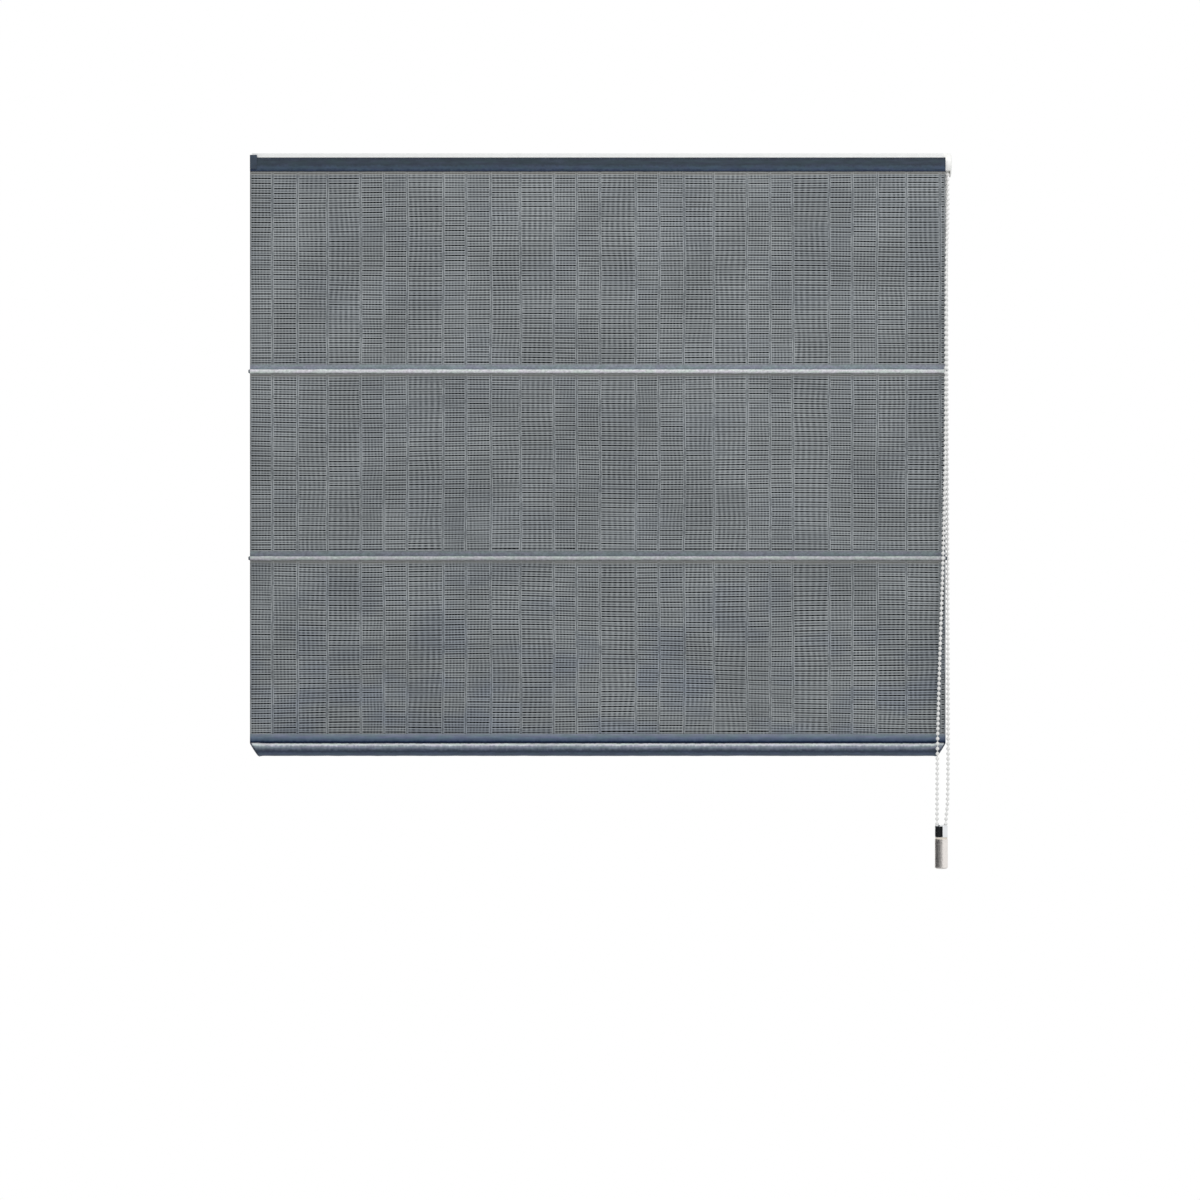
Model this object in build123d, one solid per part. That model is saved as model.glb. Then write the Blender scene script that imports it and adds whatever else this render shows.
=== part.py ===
"""Roman blind: a woven face on a head rail, with two battens, a bottom bar and a bead chain drive.

The origin is the middle of the four bracket screw holes, on the wall plane y = 0.
+X runs to the right along the blind, +Y points into the wall and +Z points up.
The blind is modelled fully lowered. All lengths are millimetres.
"""

from build123d import *
import math
import os

# Blind as a whole
BLIND_WIDTH = 834.6
RUNNING_GAP = 0.3
SNUG_GAP = 0.1
TURNING_GAP = 0.06

# Wall brackets, pressed from one sheet of steel
BRACKET_SPACING = 640.0
BRACKET_WIDTH = 30.0
BRACKET_STEEL = 1.6
BRACKET_BEND = 1.2
HOLE_SPACING = 16.0
HOLE_RADIUS = 2.25
HOLES_BELOW_RAIL_TOP = 16.0
HOLE_TO_PLATE_END = 7.0
CAM_LENGTH = 6.5
CAM_WIDTH = 7.0
CAM_THICKNESS = 1.6
CAM_LEVER = 10.0
CAM_RIVET_RADIUS = 1.9
CAM_RIVET_HEAD = 0.8

# Head rail, an open aluminium channel with two inward lips
RAIL_FROM_WALL = 10.0
RAIL_DEPTH = 36.0
RAIL_HEIGHT = 24.0
RAIL_WALL = 1.2
RAIL_LIP = 4.0
LIP_DROP = 2.4
TAPE_RECESS = 0.5
TAPE_RECESS_MARGIN = 3.0

# Left end cap
CAP_PLATE = 2.0
CAP_PLUG_LENGTH = 12.0
CAP_PLUG_WALL = 1.6
CAP_FLANGE_WIDTH = 8.3
CAP_FLANGE_THICKNESS = 0.9
CAP_FLANGE_HEIGHT = 16.8
CAP_TOP_DROP = 2.4

# Shaft, drums and cradles
SHAFT_BEHIND_FRONT = 14.0
SHAFT_FLATS = 6.0
SHAFT_OVERHANG = 5.0
CORD_SPREAD = 250.0
CORD_RADIUS = 0.75
DRUM_LENGTH = 22.0
DRUM_FLANGE = 1.2
DRUM_FLANGE_STEP = 1.6
JOURNAL_RADIUS = 5.0
JOURNAL_LENGTH = 3.2
CRADLE_BASE = 1.1
CRADLE_CHEEK = 2.4
CRADLE_WRAP = 2.6
CRADLE_SIDE = 8.0
NOZZLE_RADIUS = 2.3
NOZZLE_BORE = 1.3
NOZZLE_LENGTH = 1.0

# Chain drive at the right end
BEAD_DIAMETER = 4.5
BEAD_PITCH = 6.0
BEAD_NECK_RADIUS = 0.8
POCKETS = 10
POCKET_GAP = 0.2
SPROCKET_RIM = 0.9
SPROCKET_CHEEK = 0.5
SPROCKET_BOSS_RADIUS = 5.4
NECK_GROOVE_WIDTH = 3.0
NECK_GROOVE_DEPTH = 1.5
CHAIN_OUTSIDE_EDGE = 0.65
CHAMBER_SIDE_GAP = 1.05
CHAMBER_ROUND_GAP = 1.2
HOUSING_WALL = 1.3
HOUSING_PLATE = 2.0
HOUSING_PLUG_LENGTH = 16.0
HOUSING_PLUG_WALL = 1.5
COVER_THICKNESS = 1.7
COVER_LIP = 1.0
CLUTCH_BOSS_LENGTH = 13.0
CLUTCH_BOSS_WALL = 1.2
CLUTCH_WIRE = 1.6
CLUTCH_TURNS = 5
CLUTCH_SKIRT_WALL = 0.8
CLUTCH_HUB_PLATE = 2.2

# Hook and loop tape between the rail and the cloth
HOOK_THICKNESS = 1.5
LOOP_THICKNESS = 1.0
TAPE_END_MARGIN = 2.5

# Face cloth: horizontal weft slubs with vertical warp ribs over them
CLOTH_THICKNESS = 0.8
CLOTH_GAP = 0.3
CLOTH_TOP_DROP = 5.4
HEAD_BAND_HEIGHT = 16.8
HEAD_BAND_THICKNESS = 0.8
WEFT_PITCH = 5.76
WEFT_HEIGHT = 0.4
WEFT_CREST = 2.4
WEFT_FOOT = 4.2
WARP_WIDTH = 0.9
WARP_HEIGHT = 0.25
WARP_STEPS = (27.6, 30.0, 35.4, 40.2, 27.6, 27.6, 43.2)
WEAVE_MARGIN = 4.0

# Battens in sewn front sleeves
BATTEN_DROPS = (262.2, 486.3)
BATTEN_RADIUS = 1.8
BATTEN_SLEEVE_WALL = 0.5
BATTEN_STRIP_HEIGHT = 8.4
BATTEN_STRIP_CLOTH = 0.6
BATTEN_TIP_LENGTH = 6.0
BATTEN_TIP_HEAD = 1.6

# Cord rings and anchors, riveted through the cloth
FOOT_WIDTH = 10.0
FOOT_HEIGHT = 7.0
FOOT_THICKNESS = 1.2
RIVET_RADIUS = 0.8
RIVET_HOLE_GAP = 0.4
RING_OUTER = 3.6
RING_HOLE = 1.9
RING_THICKNESS = 2.0
STEM_WIDTH = 3.0
ANCHOR_RADIUS = 3.0
ANCHOR_HEIGHT = 8.0
ANCHOR_SOCKET = 5.0

# Bottom bar in its sewn sleeve
BAR_DROP = 715.8
BAR_RADIUS = 6.9
BAR_WALL = 1.0
BAR_SLEEVE_WALL = 0.8
BAR_INSET = 10.8
TONGUE_HEIGHT = 18.6
BAR_CAP_PLUG = 12.0
BAR_CAP_PLUG_WALL = 1.2

# Chain weight: a chromed cap over a turned body
WEIGHT_X = 411.3
WEIGHT_Y = -61.0
WEIGHT_TOP_DROP = 805.7
WEIGHT_RADIUS = 7.8
WEIGHT_CAP_HEIGHT = 14.4
WEIGHT_CAP_ROUND = 1.2
WEIGHT_COLLAR_RADIUS = 7.2
WEIGHT_COLLAR_HEIGHT = 2.4
WEIGHT_BODY_HEIGHT = 35.5
WEIGHT_BODY_ROUND = 1.5
WEIGHT_SPIGOT_RADIUS = 4.5
WEIGHT_SPIGOT_LENGTH = 5.0
TURN_RADIUS = 5.2
TURN_BAR_GAP = 0.35
CHAIN_MOUTH_DROP = 6.0
CHAIN_ABOVE_WEIGHT = 3.7

# Heights
rail_top = HOLES_BELOW_RAIL_TOP
rail_bottom = rail_top - RAIL_HEIGHT
floor_top = rail_bottom + RAIL_WALL
lip_top = rail_top - LIP_DROP
lip_bottom = lip_top - RAIL_WALL
shaft_z = (floor_top + lip_bottom) / 2
cloth_top = rail_top - CLOTH_TOP_DROP
band_bottom = cloth_top - HEAD_BAND_HEIGHT
batten_heights = [rail_top - drop for drop in BATTEN_DROPS]
bar_z = rail_top - BAR_DROP

# Depths, from the wall towards the room
rail_back = -RAIL_FROM_WALL
rail_front = rail_back - RAIL_DEPTH
shaft_y = rail_front + SHAFT_BEHIND_FRONT
hook_back = rail_front + TAPE_RECESS
hook_front = hook_back - HOOK_THICKNESS
cloth_back = hook_front - LOOP_THICKNESS
cloth_front = cloth_back - CLOTH_THICKNESS
weft_front = cloth_front - WEFT_HEIGHT
band_front = cloth_front - HEAD_BAND_THICKNESS
strip_back = cloth_front - CLOTH_GAP
batten_sleeve_radius = BATTEN_RADIUS + SNUG_GAP + BATTEN_SLEEVE_WALL
batten_y = strip_back - batten_sleeve_radius

# Widths
half_width = BLIND_WIDTH / 2
bead_radius = BEAD_DIAMETER / 2
sprocket_x = half_width + CHAIN_OUTSIDE_EDGE + bead_radius
chamber_left = sprocket_x - bead_radius - CHAMBER_SIDE_GAP
chamber_right = sprocket_x + bead_radius + CHAMBER_SIDE_GAP
rail_left = -half_width + CAP_PLATE
rail_right = chamber_left - HOUSING_PLATE
cord_places = (-CORD_SPREAD, 0.0, CORD_SPREAD)

# Round parts on the shaft
pitch_radius = POCKETS * BEAD_PITCH / (2 * math.pi)
chamber_radius = pitch_radius + bead_radius + CHAMBER_ROUND_GAP
mouth_half = pitch_radius + bead_radius + RUNNING_GAP
mouth_drop = math.sqrt(chamber_radius**2 - mouth_half**2)
boss_inner = SHAFT_FLATS / 2 / math.cos(math.pi / 6) + RUNNING_GAP
boss_outer = boss_inner + CLUTCH_BOSS_WALL
flange_radius = shaft_z - floor_top - CRADLE_BASE - RUNNING_GAP
core_radius = flange_radius - DRUM_FLANGE_STEP
cord_y = shaft_y - core_radius - CORD_RADIUS
drum_half = DRUM_LENGTH / 2

# Bottom bar
bar_sleeve_inner = BAR_RADIUS + SNUG_GAP
bar_sleeve_radius = bar_sleeve_inner + BAR_SLEEVE_WALL
bar_y = cloth_front
bar_end = half_width - BAR_INSET


def block(xs, ys, zs):
    """A box between two limits along each axis."""
    spans = [sorted(pair) for pair in (xs, ys, zs)]
    sizes = [high - low for low, high in spans]
    centre = [(low + high) / 2 for low, high in spans]
    return Pos(*centre) * Box(*sizes)


def rod_x(y, z, radius, xs):
    """A round rod along X."""
    return extrude(Plane.YZ.offset(xs[0]) * Pos(y, z) * Circle(radius), xs[1] - xs[0])


def rod_y(x, z, radius, ys):
    """A round rod along Y."""
    middle = (ys[0] + ys[1]) / 2
    return Pos(x, middle, z) * Rot(90, 0, 0) * Cylinder(radius, abs(ys[1] - ys[0]))


def rod_z(x, y, radius, zs):
    """A round rod along Z."""
    return extrude(Plane.XY.offset(zs[0]) * Pos(x, y) * Circle(radius), zs[1] - zs[0])


def section_x(points, xs):
    """A section in Y and Z, drawn as straight lines, carried along X."""
    face = make_face(Polyline(*points, close=True))
    return extrude(Plane.YZ.offset(xs[0]) * face, xs[1] - xs[0])


def turned_x(points):
    """A solid turned about the shaft, from points of distance along X and radius."""
    face = make_face(Polyline(*points, close=True))
    placed = Plane((0, shaft_y, shaft_z), x_dir=(1, 0, 0), z_dir=(0, -1, 0)) * face
    return revolve(placed, Axis((0, shaft_y, shaft_z), (1, 0, 0)))


def turned_z(points, x, y):
    """A solid turned about an upright axis, from points of radius and height."""
    face = make_face(Polyline(*points, close=True))
    return revolve(Pos(x, y) * (Plane.XZ * face), Axis((x, y, 0), (0, 0, 1)))


def hexagon_x(flats, xs):
    """A hexagonal bar on the shaft's axis."""
    outline = Pos(shaft_y, shaft_z) * RegularPolygon(flats / 2, 6, major_radius=False)
    return extrude(Plane.YZ.offset(xs[0]) * outline, xs[1] - xs[0])


def head_rail():
    """The channel, with a recess in front for the hook tape and a hole for each cord nozzle."""
    inner_back = rail_back - RAIL_WALL
    inner_front = rail_front + RAIL_WALL
    recess_low = rail_bottom + TAPE_RECESS_MARGIN
    recess_high = cloth_top - SNUG_GAP
    outline = [
        (rail_back, lip_top),
        (rail_back, rail_bottom),
        (rail_front, rail_bottom),
        (rail_front, recess_low),
        (hook_back, recess_low),
        (hook_back, recess_high),
        (rail_front, recess_high),
        (rail_front, rail_top),
        (inner_front, rail_top),
        (inner_front, lip_top),
        (inner_front + RAIL_LIP, lip_top),
        (inner_front + RAIL_LIP, lip_bottom),
        (inner_front, lip_bottom),
        (inner_front, floor_top),
        (inner_back, floor_top),
        (inner_back, lip_bottom),
        (inner_back - RAIL_LIP, lip_bottom),
        (inner_back - RAIL_LIP, lip_top),
    ]
    rail = section_x(outline, (rail_left, rail_right))
    for x in cord_places:
        rail -= rod_z(x, cord_y, NOZZLE_RADIUS + SNUG_GAP, (rail_bottom - 1, floor_top + 1))
    return rail


def cam_pivot_y():
    """The cam's pivot stands clear of the back lip by its own half width."""
    return rail_back - RAIL_WALL - RAIL_LIP - CAM_WIDTH / 2 - RUNNING_GAP


def rail_bracket(x):
    """An angle bracket: its arm lies on both lips and a hook grips the front one."""
    half = BRACKET_WIDTH / 2
    arm_top = lip_top + BRACKET_STEEL
    arm_front = rail_front + RAIL_WALL + RUNNING_GAP
    plate_low = -HOLE_SPACING / 2 - HOLE_TO_PLATE_END
    lip_end = rail_front + RAIL_WALL + RAIL_LIP
    hook_back_y = lip_end + RUNNING_GAP + BRACKET_STEEL
    hook_top = lip_bottom - RUNNING_GAP
    outline = [
        (0, arm_top),
        (0, plate_low),
        (-BRACKET_STEEL, plate_low),
        (-BRACKET_STEEL, lip_top),
        (hook_back_y, lip_top),
        (hook_back_y, hook_top - BRACKET_STEEL),
        (arm_front, hook_top - BRACKET_STEEL),
        (arm_front, hook_top),
        (lip_end + RUNNING_GAP, hook_top),
        (lip_end + RUNNING_GAP, lip_top),
        (arm_front, lip_top),
        (arm_front, arm_top),
    ]
    bracket = section_x(outline, (x - half, x + half))
    outer_bend = bracket.edges().filter_by(Axis.X).sort_by_distance((x, 0, arm_top))[0]
    bracket = fillet(outer_bend, BRACKET_BEND)
    foot_corners = bracket.edges().filter_by(Axis.Y).group_by(Axis.Z)[0]
    bracket = fillet(foot_corners, BRACKET_BEND)
    for z in (-HOLE_SPACING / 2, HOLE_SPACING / 2):
        bracket -= rod_y(x, z, HOLE_RADIUS, (1, -BRACKET_STEEL - 1))
    rivet_hole = rod_z(x, cam_pivot_y(), CAM_RIVET_RADIUS + SNUG_GAP, (lip_top - 1, arm_top + 1))
    return bracket - rivet_hole


def bracket_cam(x):
    """The swivelling lock under the arm: a lobe below the back lip and a finger lever."""
    top = lip_bottom - RUNNING_GAP
    low = top - CAM_THICKNESS
    y = cam_pivot_y()
    lobe = Pos(x, y + CAM_LENGTH / 2 - CAM_WIDTH / 4) * Rectangle(CAM_WIDTH, CAM_LENGTH - CAM_WIDTH / 2)
    lever = Pos(x, y - CAM_LEVER / 2) * Rectangle(CAM_WIDTH * 0.6, CAM_LEVER)
    heel = Pos(x, y) * Circle(CAM_WIDTH / 2)
    nose = Pos(x, y + CAM_LENGTH - CAM_WIDTH / 2) * Circle(CAM_WIDTH / 2)
    cam = extrude(Plane.XY.offset(low) * (lobe + lever + heel + nose), CAM_THICKNESS)
    cam += rod_z(x, y, CAM_WIDTH / 2 - RUNNING_GAP, (top, lip_top - RUNNING_GAP))
    cam -= rod_z(x, y, CAM_RIVET_RADIUS + TURNING_GAP, (low - 1, lip_top + 1))
    finger = block(
        (x - CAM_WIDTH * 0.3, x + CAM_WIDTH * 0.3),
        (y - CAM_LEVER, y - CAM_LEVER + CAM_THICKNESS),
        (low - CAM_THICKNESS, low),
    )
    return cam + finger


def cam_rivets():
    """One shouldered rivet through each bracket's arm and cam."""
    rivets = []
    low = lip_bottom - RUNNING_GAP - CAM_THICKNESS - RUNNING_GAP
    arm_top = lip_top + BRACKET_STEEL
    head = CAM_RIVET_RADIUS * 1.7
    for x in (-BRACKET_SPACING / 2, BRACKET_SPACING / 2):
        points = [
            (0, low - CAM_RIVET_HEAD),
            (head, low - CAM_RIVET_HEAD),
            (head, low),
            (CAM_RIVET_RADIUS, low),
            (CAM_RIVET_RADIUS, arm_top),
            (head, arm_top),
            (head, arm_top + CAM_RIVET_HEAD),
            (0, arm_top + CAM_RIVET_HEAD),
        ]
        rivets.append(turned_z(points, x, cam_pivot_y()))
    return rivets


def rail_plug(xs, wall, solid_end):
    """A hollow plug that slides into the rail below its lips."""
    fit = SNUG_GAP
    ys = (rail_back - RAIL_WALL - fit, rail_front + RAIL_WALL + fit)
    zs = (floor_top + fit, lip_bottom - fit)
    plug = block(xs, ys, zs)
    inside_x = (xs[0] + solid_end, xs[1] + 1) if solid_end > 0 else (xs[0] - 1, xs[1] + 1)
    inside = block(inside_x, (ys[0] - wall, ys[1] + wall), (zs[0] + wall, zs[1] - wall))
    return plug - inside


def end_cap_left():
    """The left cap: a plug, an end plate and a hook over the cloth's upper corner."""
    left = -half_width
    plate_low = rail_bottom
    plate = block((left, rail_left), (rail_back, hook_front), (plate_low, lip_top))
    plug = rail_plug((rail_left, rail_left + CAP_PLUG_LENGTH), CAP_PLUG_WALL, 0)
    flange_back = band_front - SNUG_GAP
    flange_front = flange_back - CAP_FLANGE_THICKNESS
    hook_top = rail_top - CAP_TOP_DROP
    hook_low = cloth_top + SNUG_GAP
    right = left + CAP_FLANGE_WIDTH
    hook = block((left, right), (rail_front, flange_front), (hook_low, hook_top))
    flange = block((left, right), (flange_back, flange_front), (hook_top - CAP_FLANGE_HEIGHT, hook_top))
    flange = fillet(flange.edges().filter_by(Axis.Y), CAP_FLANGE_THICKNESS)
    upright = block((left, rail_left), (rail_back, rail_front), (plate_low, hook_top))
    return plate + plug + upright + hook + flange


def drive_housing():
    """The right end: a plug, the clutch boss and an open-bottomed cup round the sprocket."""
    plug = rail_plug((rail_right - HOUSING_PLUG_LENGTH, rail_right), HOUSING_PLUG_WALL, 0)
    plate = block((rail_right, chamber_left), (rail_back, rail_front), (rail_bottom, rail_top))
    plate = fillet(plate.edges().filter_by(Axis.X), HOUSING_WALL)
    disc = rod_x(shaft_y, shaft_z, chamber_radius + HOUSING_WALL, (rail_right, chamber_left))
    cup = rod_x(shaft_y, shaft_z, chamber_radius + HOUSING_WALL, (chamber_left, chamber_right))
    cup -= rod_x(shaft_y, shaft_z, chamber_radius, (chamber_left, chamber_right + 1))
    cup -= block(
        (chamber_left, chamber_right + 1),
        (shaft_y - mouth_half, shaft_y + mouth_half),
        (shaft_z - mouth_drop, shaft_z - chamber_radius - HOUSING_WALL - 1),
    )
    boss = rod_x(shaft_y, shaft_z, boss_outer, (rail_right - CLUTCH_BOSS_LENGTH, rail_right))
    bore = rod_x(shaft_y, shaft_z, boss_inner, (rail_right - CLUTCH_BOSS_LENGTH - 1, chamber_left + 1))
    return plug + plate + disc + cup + boss - bore


def drive_cover():
    """The cup's cover, with a lip inside the cup wall and a raised rim."""
    outer = chamber_radius + HOUSING_WALL
    lip = chamber_radius - SNUG_GAP
    points = [
        (chamber_right - COVER_LIP, lip),
        (chamber_right, lip),
        (chamber_right, outer),
        (chamber_right + COVER_THICKNESS * 0.6, outer),
        (chamber_right + COVER_THICKNESS, outer - COVER_THICKNESS),
        (chamber_right + COVER_THICKNESS, outer * 0.55),
        (chamber_right + COVER_THICKNESS * 0.7, outer * 0.5),
        (chamber_right + COVER_THICKNESS * 0.7, 0),
        (chamber_right, 0),
        (chamber_right, lip - HOUSING_WALL),
        (chamber_right - COVER_LIP, lip - HOUSING_WALL),
    ]
    cover = turned_x(points)
    return cover - block(
        (chamber_right - COVER_LIP - 1, chamber_right),
        (shaft_y - mouth_half, shaft_y + mouth_half),
        (shaft_z - mouth_drop, shaft_z - outer - 1),
    )


def clutch_spring():
    """The wrap spring on the boss, its closed turns as one solid."""
    inner = boss_outer + SNUG_GAP
    start = rail_right - CLUTCH_BOSS_LENGTH + CLUTCH_WIRE
    points = [(start, inner)]
    for turn in range(CLUTCH_TURNS):
        x = start + turn * CLUTCH_WIRE
        points += [(x, inner + CLUTCH_WIRE * 0.6), (x + CLUTCH_WIRE / 2, inner + CLUTCH_WIRE)]
    end = start + CLUTCH_TURNS * CLUTCH_WIRE
    points += [(end, inner + CLUTCH_WIRE * 0.6), (end, inner)]
    return turned_x(points)


def clutch_hub():
    """The cup that the spring drives, fixed on the shaft."""
    inner = boss_outer + SNUG_GAP + CLUTCH_WIRE + SNUG_GAP
    outer = inner + CLUTCH_SKIRT_WALL
    closed_end = rail_right - CLUTCH_BOSS_LENGTH - RUNNING_GAP
    open_end = rail_right - RUNNING_GAP
    points = [
        (closed_end - CLUTCH_HUB_PLATE, 0),
        (closed_end - CLUTCH_HUB_PLATE, outer),
        (open_end, outer),
        (open_end, inner),
        (closed_end, inner),
        (closed_end, 0),
    ]
    return turned_x(points) - hexagon_x(SHAFT_FLATS + SNUG_GAP, (closed_end - CLUTCH_HUB_PLATE - 1, closed_end + 1))


def chain_sprocket():
    """The pocketed wheel: ten bead pockets, and a groove for the links between the beads."""
    half = bead_radius + SPROCKET_CHEEK
    rim = pitch_radius + SPROCKET_RIM
    wheel = rod_x(shaft_y, shaft_z, rim, (sprocket_x - half, sprocket_x + half))
    wheel = chamfer(wheel.edges().filter_by(GeomType.CIRCLE), SPROCKET_CHEEK)
    groove = rod_x(
        shaft_y, shaft_z, rim + 1, (sprocket_x - NECK_GROOVE_WIDTH / 2, sprocket_x + NECK_GROOVE_WIDTH / 2)
    )
    wheel -= groove - rod_x(
        shaft_y, shaft_z, pitch_radius - NECK_GROOVE_DEPTH, (sprocket_x - half, sprocket_x + half)
    )
    pocket_radius = bead_radius + POCKET_GAP
    pocket_floor = pitch_radius - pocket_radius
    for pocket in range(POCKETS):
        angle = (pocket + 0.5) * 360 / POCKETS
        drill = Pos(0, 0, pocket_floor + rim) * Cylinder(pocket_radius, 2 * rim)
        wheel -= Pos(sprocket_x, shaft_y, shaft_z) * Rot(angle, 0, 0) * drill
    wheel += rod_x(shaft_y, shaft_z, SPROCKET_BOSS_RADIUS, (sprocket_x - half - SPROCKET_CHEEK, sprocket_x + half))
    return wheel - hexagon_x(SHAFT_FLATS + SNUG_GAP, (sprocket_x - half - 2, sprocket_x + half + 2))


def drive_shaft():
    """The hexagonal shaft, from past the left drum into the sprocket."""
    left = -CORD_SPREAD - drum_half - JOURNAL_LENGTH - SHAFT_OVERHANG
    return hexagon_x(SHAFT_FLATS, (left, sprocket_x + bead_radius))


def cord_drum(x):
    """A flanged drum with a journal at each end."""
    points = [
        (x - drum_half - JOURNAL_LENGTH, 0),
        (x - drum_half - JOURNAL_LENGTH, JOURNAL_RADIUS),
        (x - drum_half, JOURNAL_RADIUS),
        (x - drum_half, flange_radius),
        (x - drum_half + DRUM_FLANGE, flange_radius),
        (x - drum_half + DRUM_FLANGE, core_radius),
        (x + drum_half - DRUM_FLANGE, core_radius),
        (x + drum_half - DRUM_FLANGE, flange_radius),
        (x + drum_half, flange_radius),
        (x + drum_half, JOURNAL_RADIUS),
        (x + drum_half + JOURNAL_LENGTH, JOURNAL_RADIUS),
        (x + drum_half + JOURNAL_LENGTH, 0),
    ]
    reach = drum_half + JOURNAL_LENGTH + 1
    return turned_x(points) - hexagon_x(SHAFT_FLATS + SNUG_GAP, (x - reach, x + reach))


def drum_cradle(x):
    """The drum's seat on the rail floor: two snap-in cheeks and a cord nozzle through the floor."""
    inner = drum_half + RUNNING_GAP
    outer = inner + CRADLE_CHEEK
    front = cord_y - NOZZLE_RADIUS - SNUG_GAP
    base = block((x - outer, x + outer), (shaft_y + CRADLE_SIDE, front), (floor_top, floor_top + CRADLE_BASE))
    cradle = base + rod_z(x, cord_y, NOZZLE_RADIUS, (rail_bottom - NOZZLE_LENGTH, floor_top))
    for side in (-1, 1):
        cheek = block(
            (x + side * inner, x + side * outer),
            (shaft_y + CRADLE_SIDE, shaft_y - CRADLE_SIDE),
            (floor_top, shaft_z + CRADLE_WRAP),
        )
        upper = cheek.edges().filter_by(Axis.X).group_by(Axis.Z)[-1]
        cradle += chamfer(upper, CRADLE_CHEEK)
    cradle -= rod_x(shaft_y, shaft_z, JOURNAL_RADIUS + TURNING_GAP, (x - outer - 1, x + outer + 1))
    cradle -= rod_z(x, cord_y, NOZZLE_BORE, (rail_bottom - NOZZLE_LENGTH - 1, floor_top + CRADLE_BASE + 1))
    return cradle


def tape_span():
    """The tapes' ends, inside the rail's ends."""
    return (rail_left + TAPE_END_MARGIN, rail_right - TAPE_END_MARGIN)


def hook_tape():
    """The stiff hook tape, seated in the rail's recess."""
    low = rail_bottom + TAPE_RECESS_MARGIN + SNUG_GAP
    return block(tape_span(), (hook_back, hook_front), (low, cloth_top - 2 * SNUG_GAP))


def loop_tape():
    """The soft loop tape, sewn to the cloth's back."""
    low = rail_bottom + TAPE_RECESS_MARGIN + SNUG_GAP
    return block(tape_span(), (hook_front, cloth_back), (low, cloth_top - 2 * SNUG_GAP))


def head_band():
    """The plain strip along the top of the face."""
    band = block((-half_width, half_width), (cloth_front, band_front), (band_bottom, cloth_top))
    lower_front = band.edges().filter_by(Axis.X).sort_by_distance((0, band_front, band_bottom))[0]
    return chamfer(lower_front, HEAD_BAND_THICKNESS / 2)


def weave_panels():
    """Low and high edge of each woven panel between the plain strips."""
    tops = [band_bottom - WEAVE_MARGIN] + [z - batten_sleeve_radius - WEAVE_MARGIN for z in batten_heights]
    lows = [z + BATTEN_STRIP_HEIGHT + WEAVE_MARGIN / 2 for z in batten_heights]
    lows.append(bar_z + TONGUE_HEIGHT + WEAVE_MARGIN / 2)
    return list(zip(lows, tops))


def foot_heights():
    """Height of the ring feet on each batten strip and of the anchor feet on the tongue."""
    feet = [z + BATTEN_STRIP_HEIGHT / 2 for z in batten_heights]
    feet.append(bar_z + (bar_sleeve_radius + TONGUE_HEIGHT) / 2)
    return feet


def face_fabric():
    """The cloth: one sheet, with a row of weft ridges in each woven panel."""
    front = [(cloth_front, cloth_top)]
    for low, high in weave_panels():
        rows = math.floor((high - low) / WEFT_PITCH)
        slack = (high - low - rows * WEFT_PITCH) / 2
        for row in range(rows):
            z = high - slack - (row + 0.5) * WEFT_PITCH
            front += [
                (cloth_front, z + WEFT_FOOT / 2),
                (weft_front, z + WEFT_CREST / 2),
                (weft_front, z - WEFT_CREST / 2),
                (cloth_front, z - WEFT_FOOT / 2),
            ]
    hem = bar_z + bar_sleeve_radius + RUNNING_GAP
    outline = front + [(cloth_front, hem), (cloth_back, hem), (cloth_back, cloth_top)]
    cloth = section_x(outline, (-half_width, half_width))
    for z in foot_heights():
        for x in cord_places:
            cloth -= rod_y(x, z, RIVET_RADIUS + RIVET_HOLE_GAP, (cloth_back + 1, cloth_front - 1))
    return cloth


def warp_ribs():
    """Vertical ribs at the weave's uneven spacing, lying on the weft crests."""
    places = []
    x = -half_width + WARP_STEPS[0]
    while x < half_width - WARP_WIDTH:
        places.append(x)
        x += WARP_STEPS[len(places) % len(WARP_STEPS)]
    ribs = []
    for low, high in weave_panels():
        rows = math.floor((high - low) / WEFT_PITCH)
        slack = (high - low - rows * WEFT_PITCH) / 2
        ends = (low + slack + WEFT_CREST / 2, high - slack - WEFT_CREST / 2)
        for place in places:
            xs = (place - WARP_WIDTH / 2, place + WARP_WIDTH / 2)
            ribs.append(block(xs, (weft_front, weft_front - WARP_HEIGHT), ends))
    return ribs


def batten_sleeve(z):
    """The sewn pocket for one batten: a round casing below a flat strip of cloth."""
    sleeve = rod_x(batten_y, z, batten_sleeve_radius, (-half_width, half_width))
    strip = block(
        (-half_width, half_width),
        (strip_back, strip_back - BATTEN_STRIP_CLOTH),
        (z, z + BATTEN_STRIP_HEIGHT),
    )
    return sleeve + strip - rod_x(batten_y, z, BATTEN_RADIUS + SNUG_GAP, (-half_width - 1, half_width + 1))


def batten_rod(z):
    """The round glass-fibre batten, between its two tips."""
    end = half_width - BATTEN_TIP_LENGTH
    return rod_x(batten_y, z, BATTEN_RADIUS, (-end, end))


def batten_tips(z):
    """A domed tip in each end of the sleeve."""
    tips = []
    for side in (-1, 1):
        inner = half_width - BATTEN_TIP_LENGTH
        tip = rod_x(batten_y, z, BATTEN_RADIUS, (side * inner, side * half_width))
        head = rod_x(batten_y, z, batten_sleeve_radius, (side * half_width, side * (half_width + BATTEN_TIP_HEAD)))
        outer_edge = head.edges().filter_by(GeomType.CIRCLE).sort_by_distance((side * 2 * half_width, batten_y, z))[0]
        tips.append(tip + chamfer(outer_edge, BATTEN_TIP_HEAD / 2))
    return tips


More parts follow.
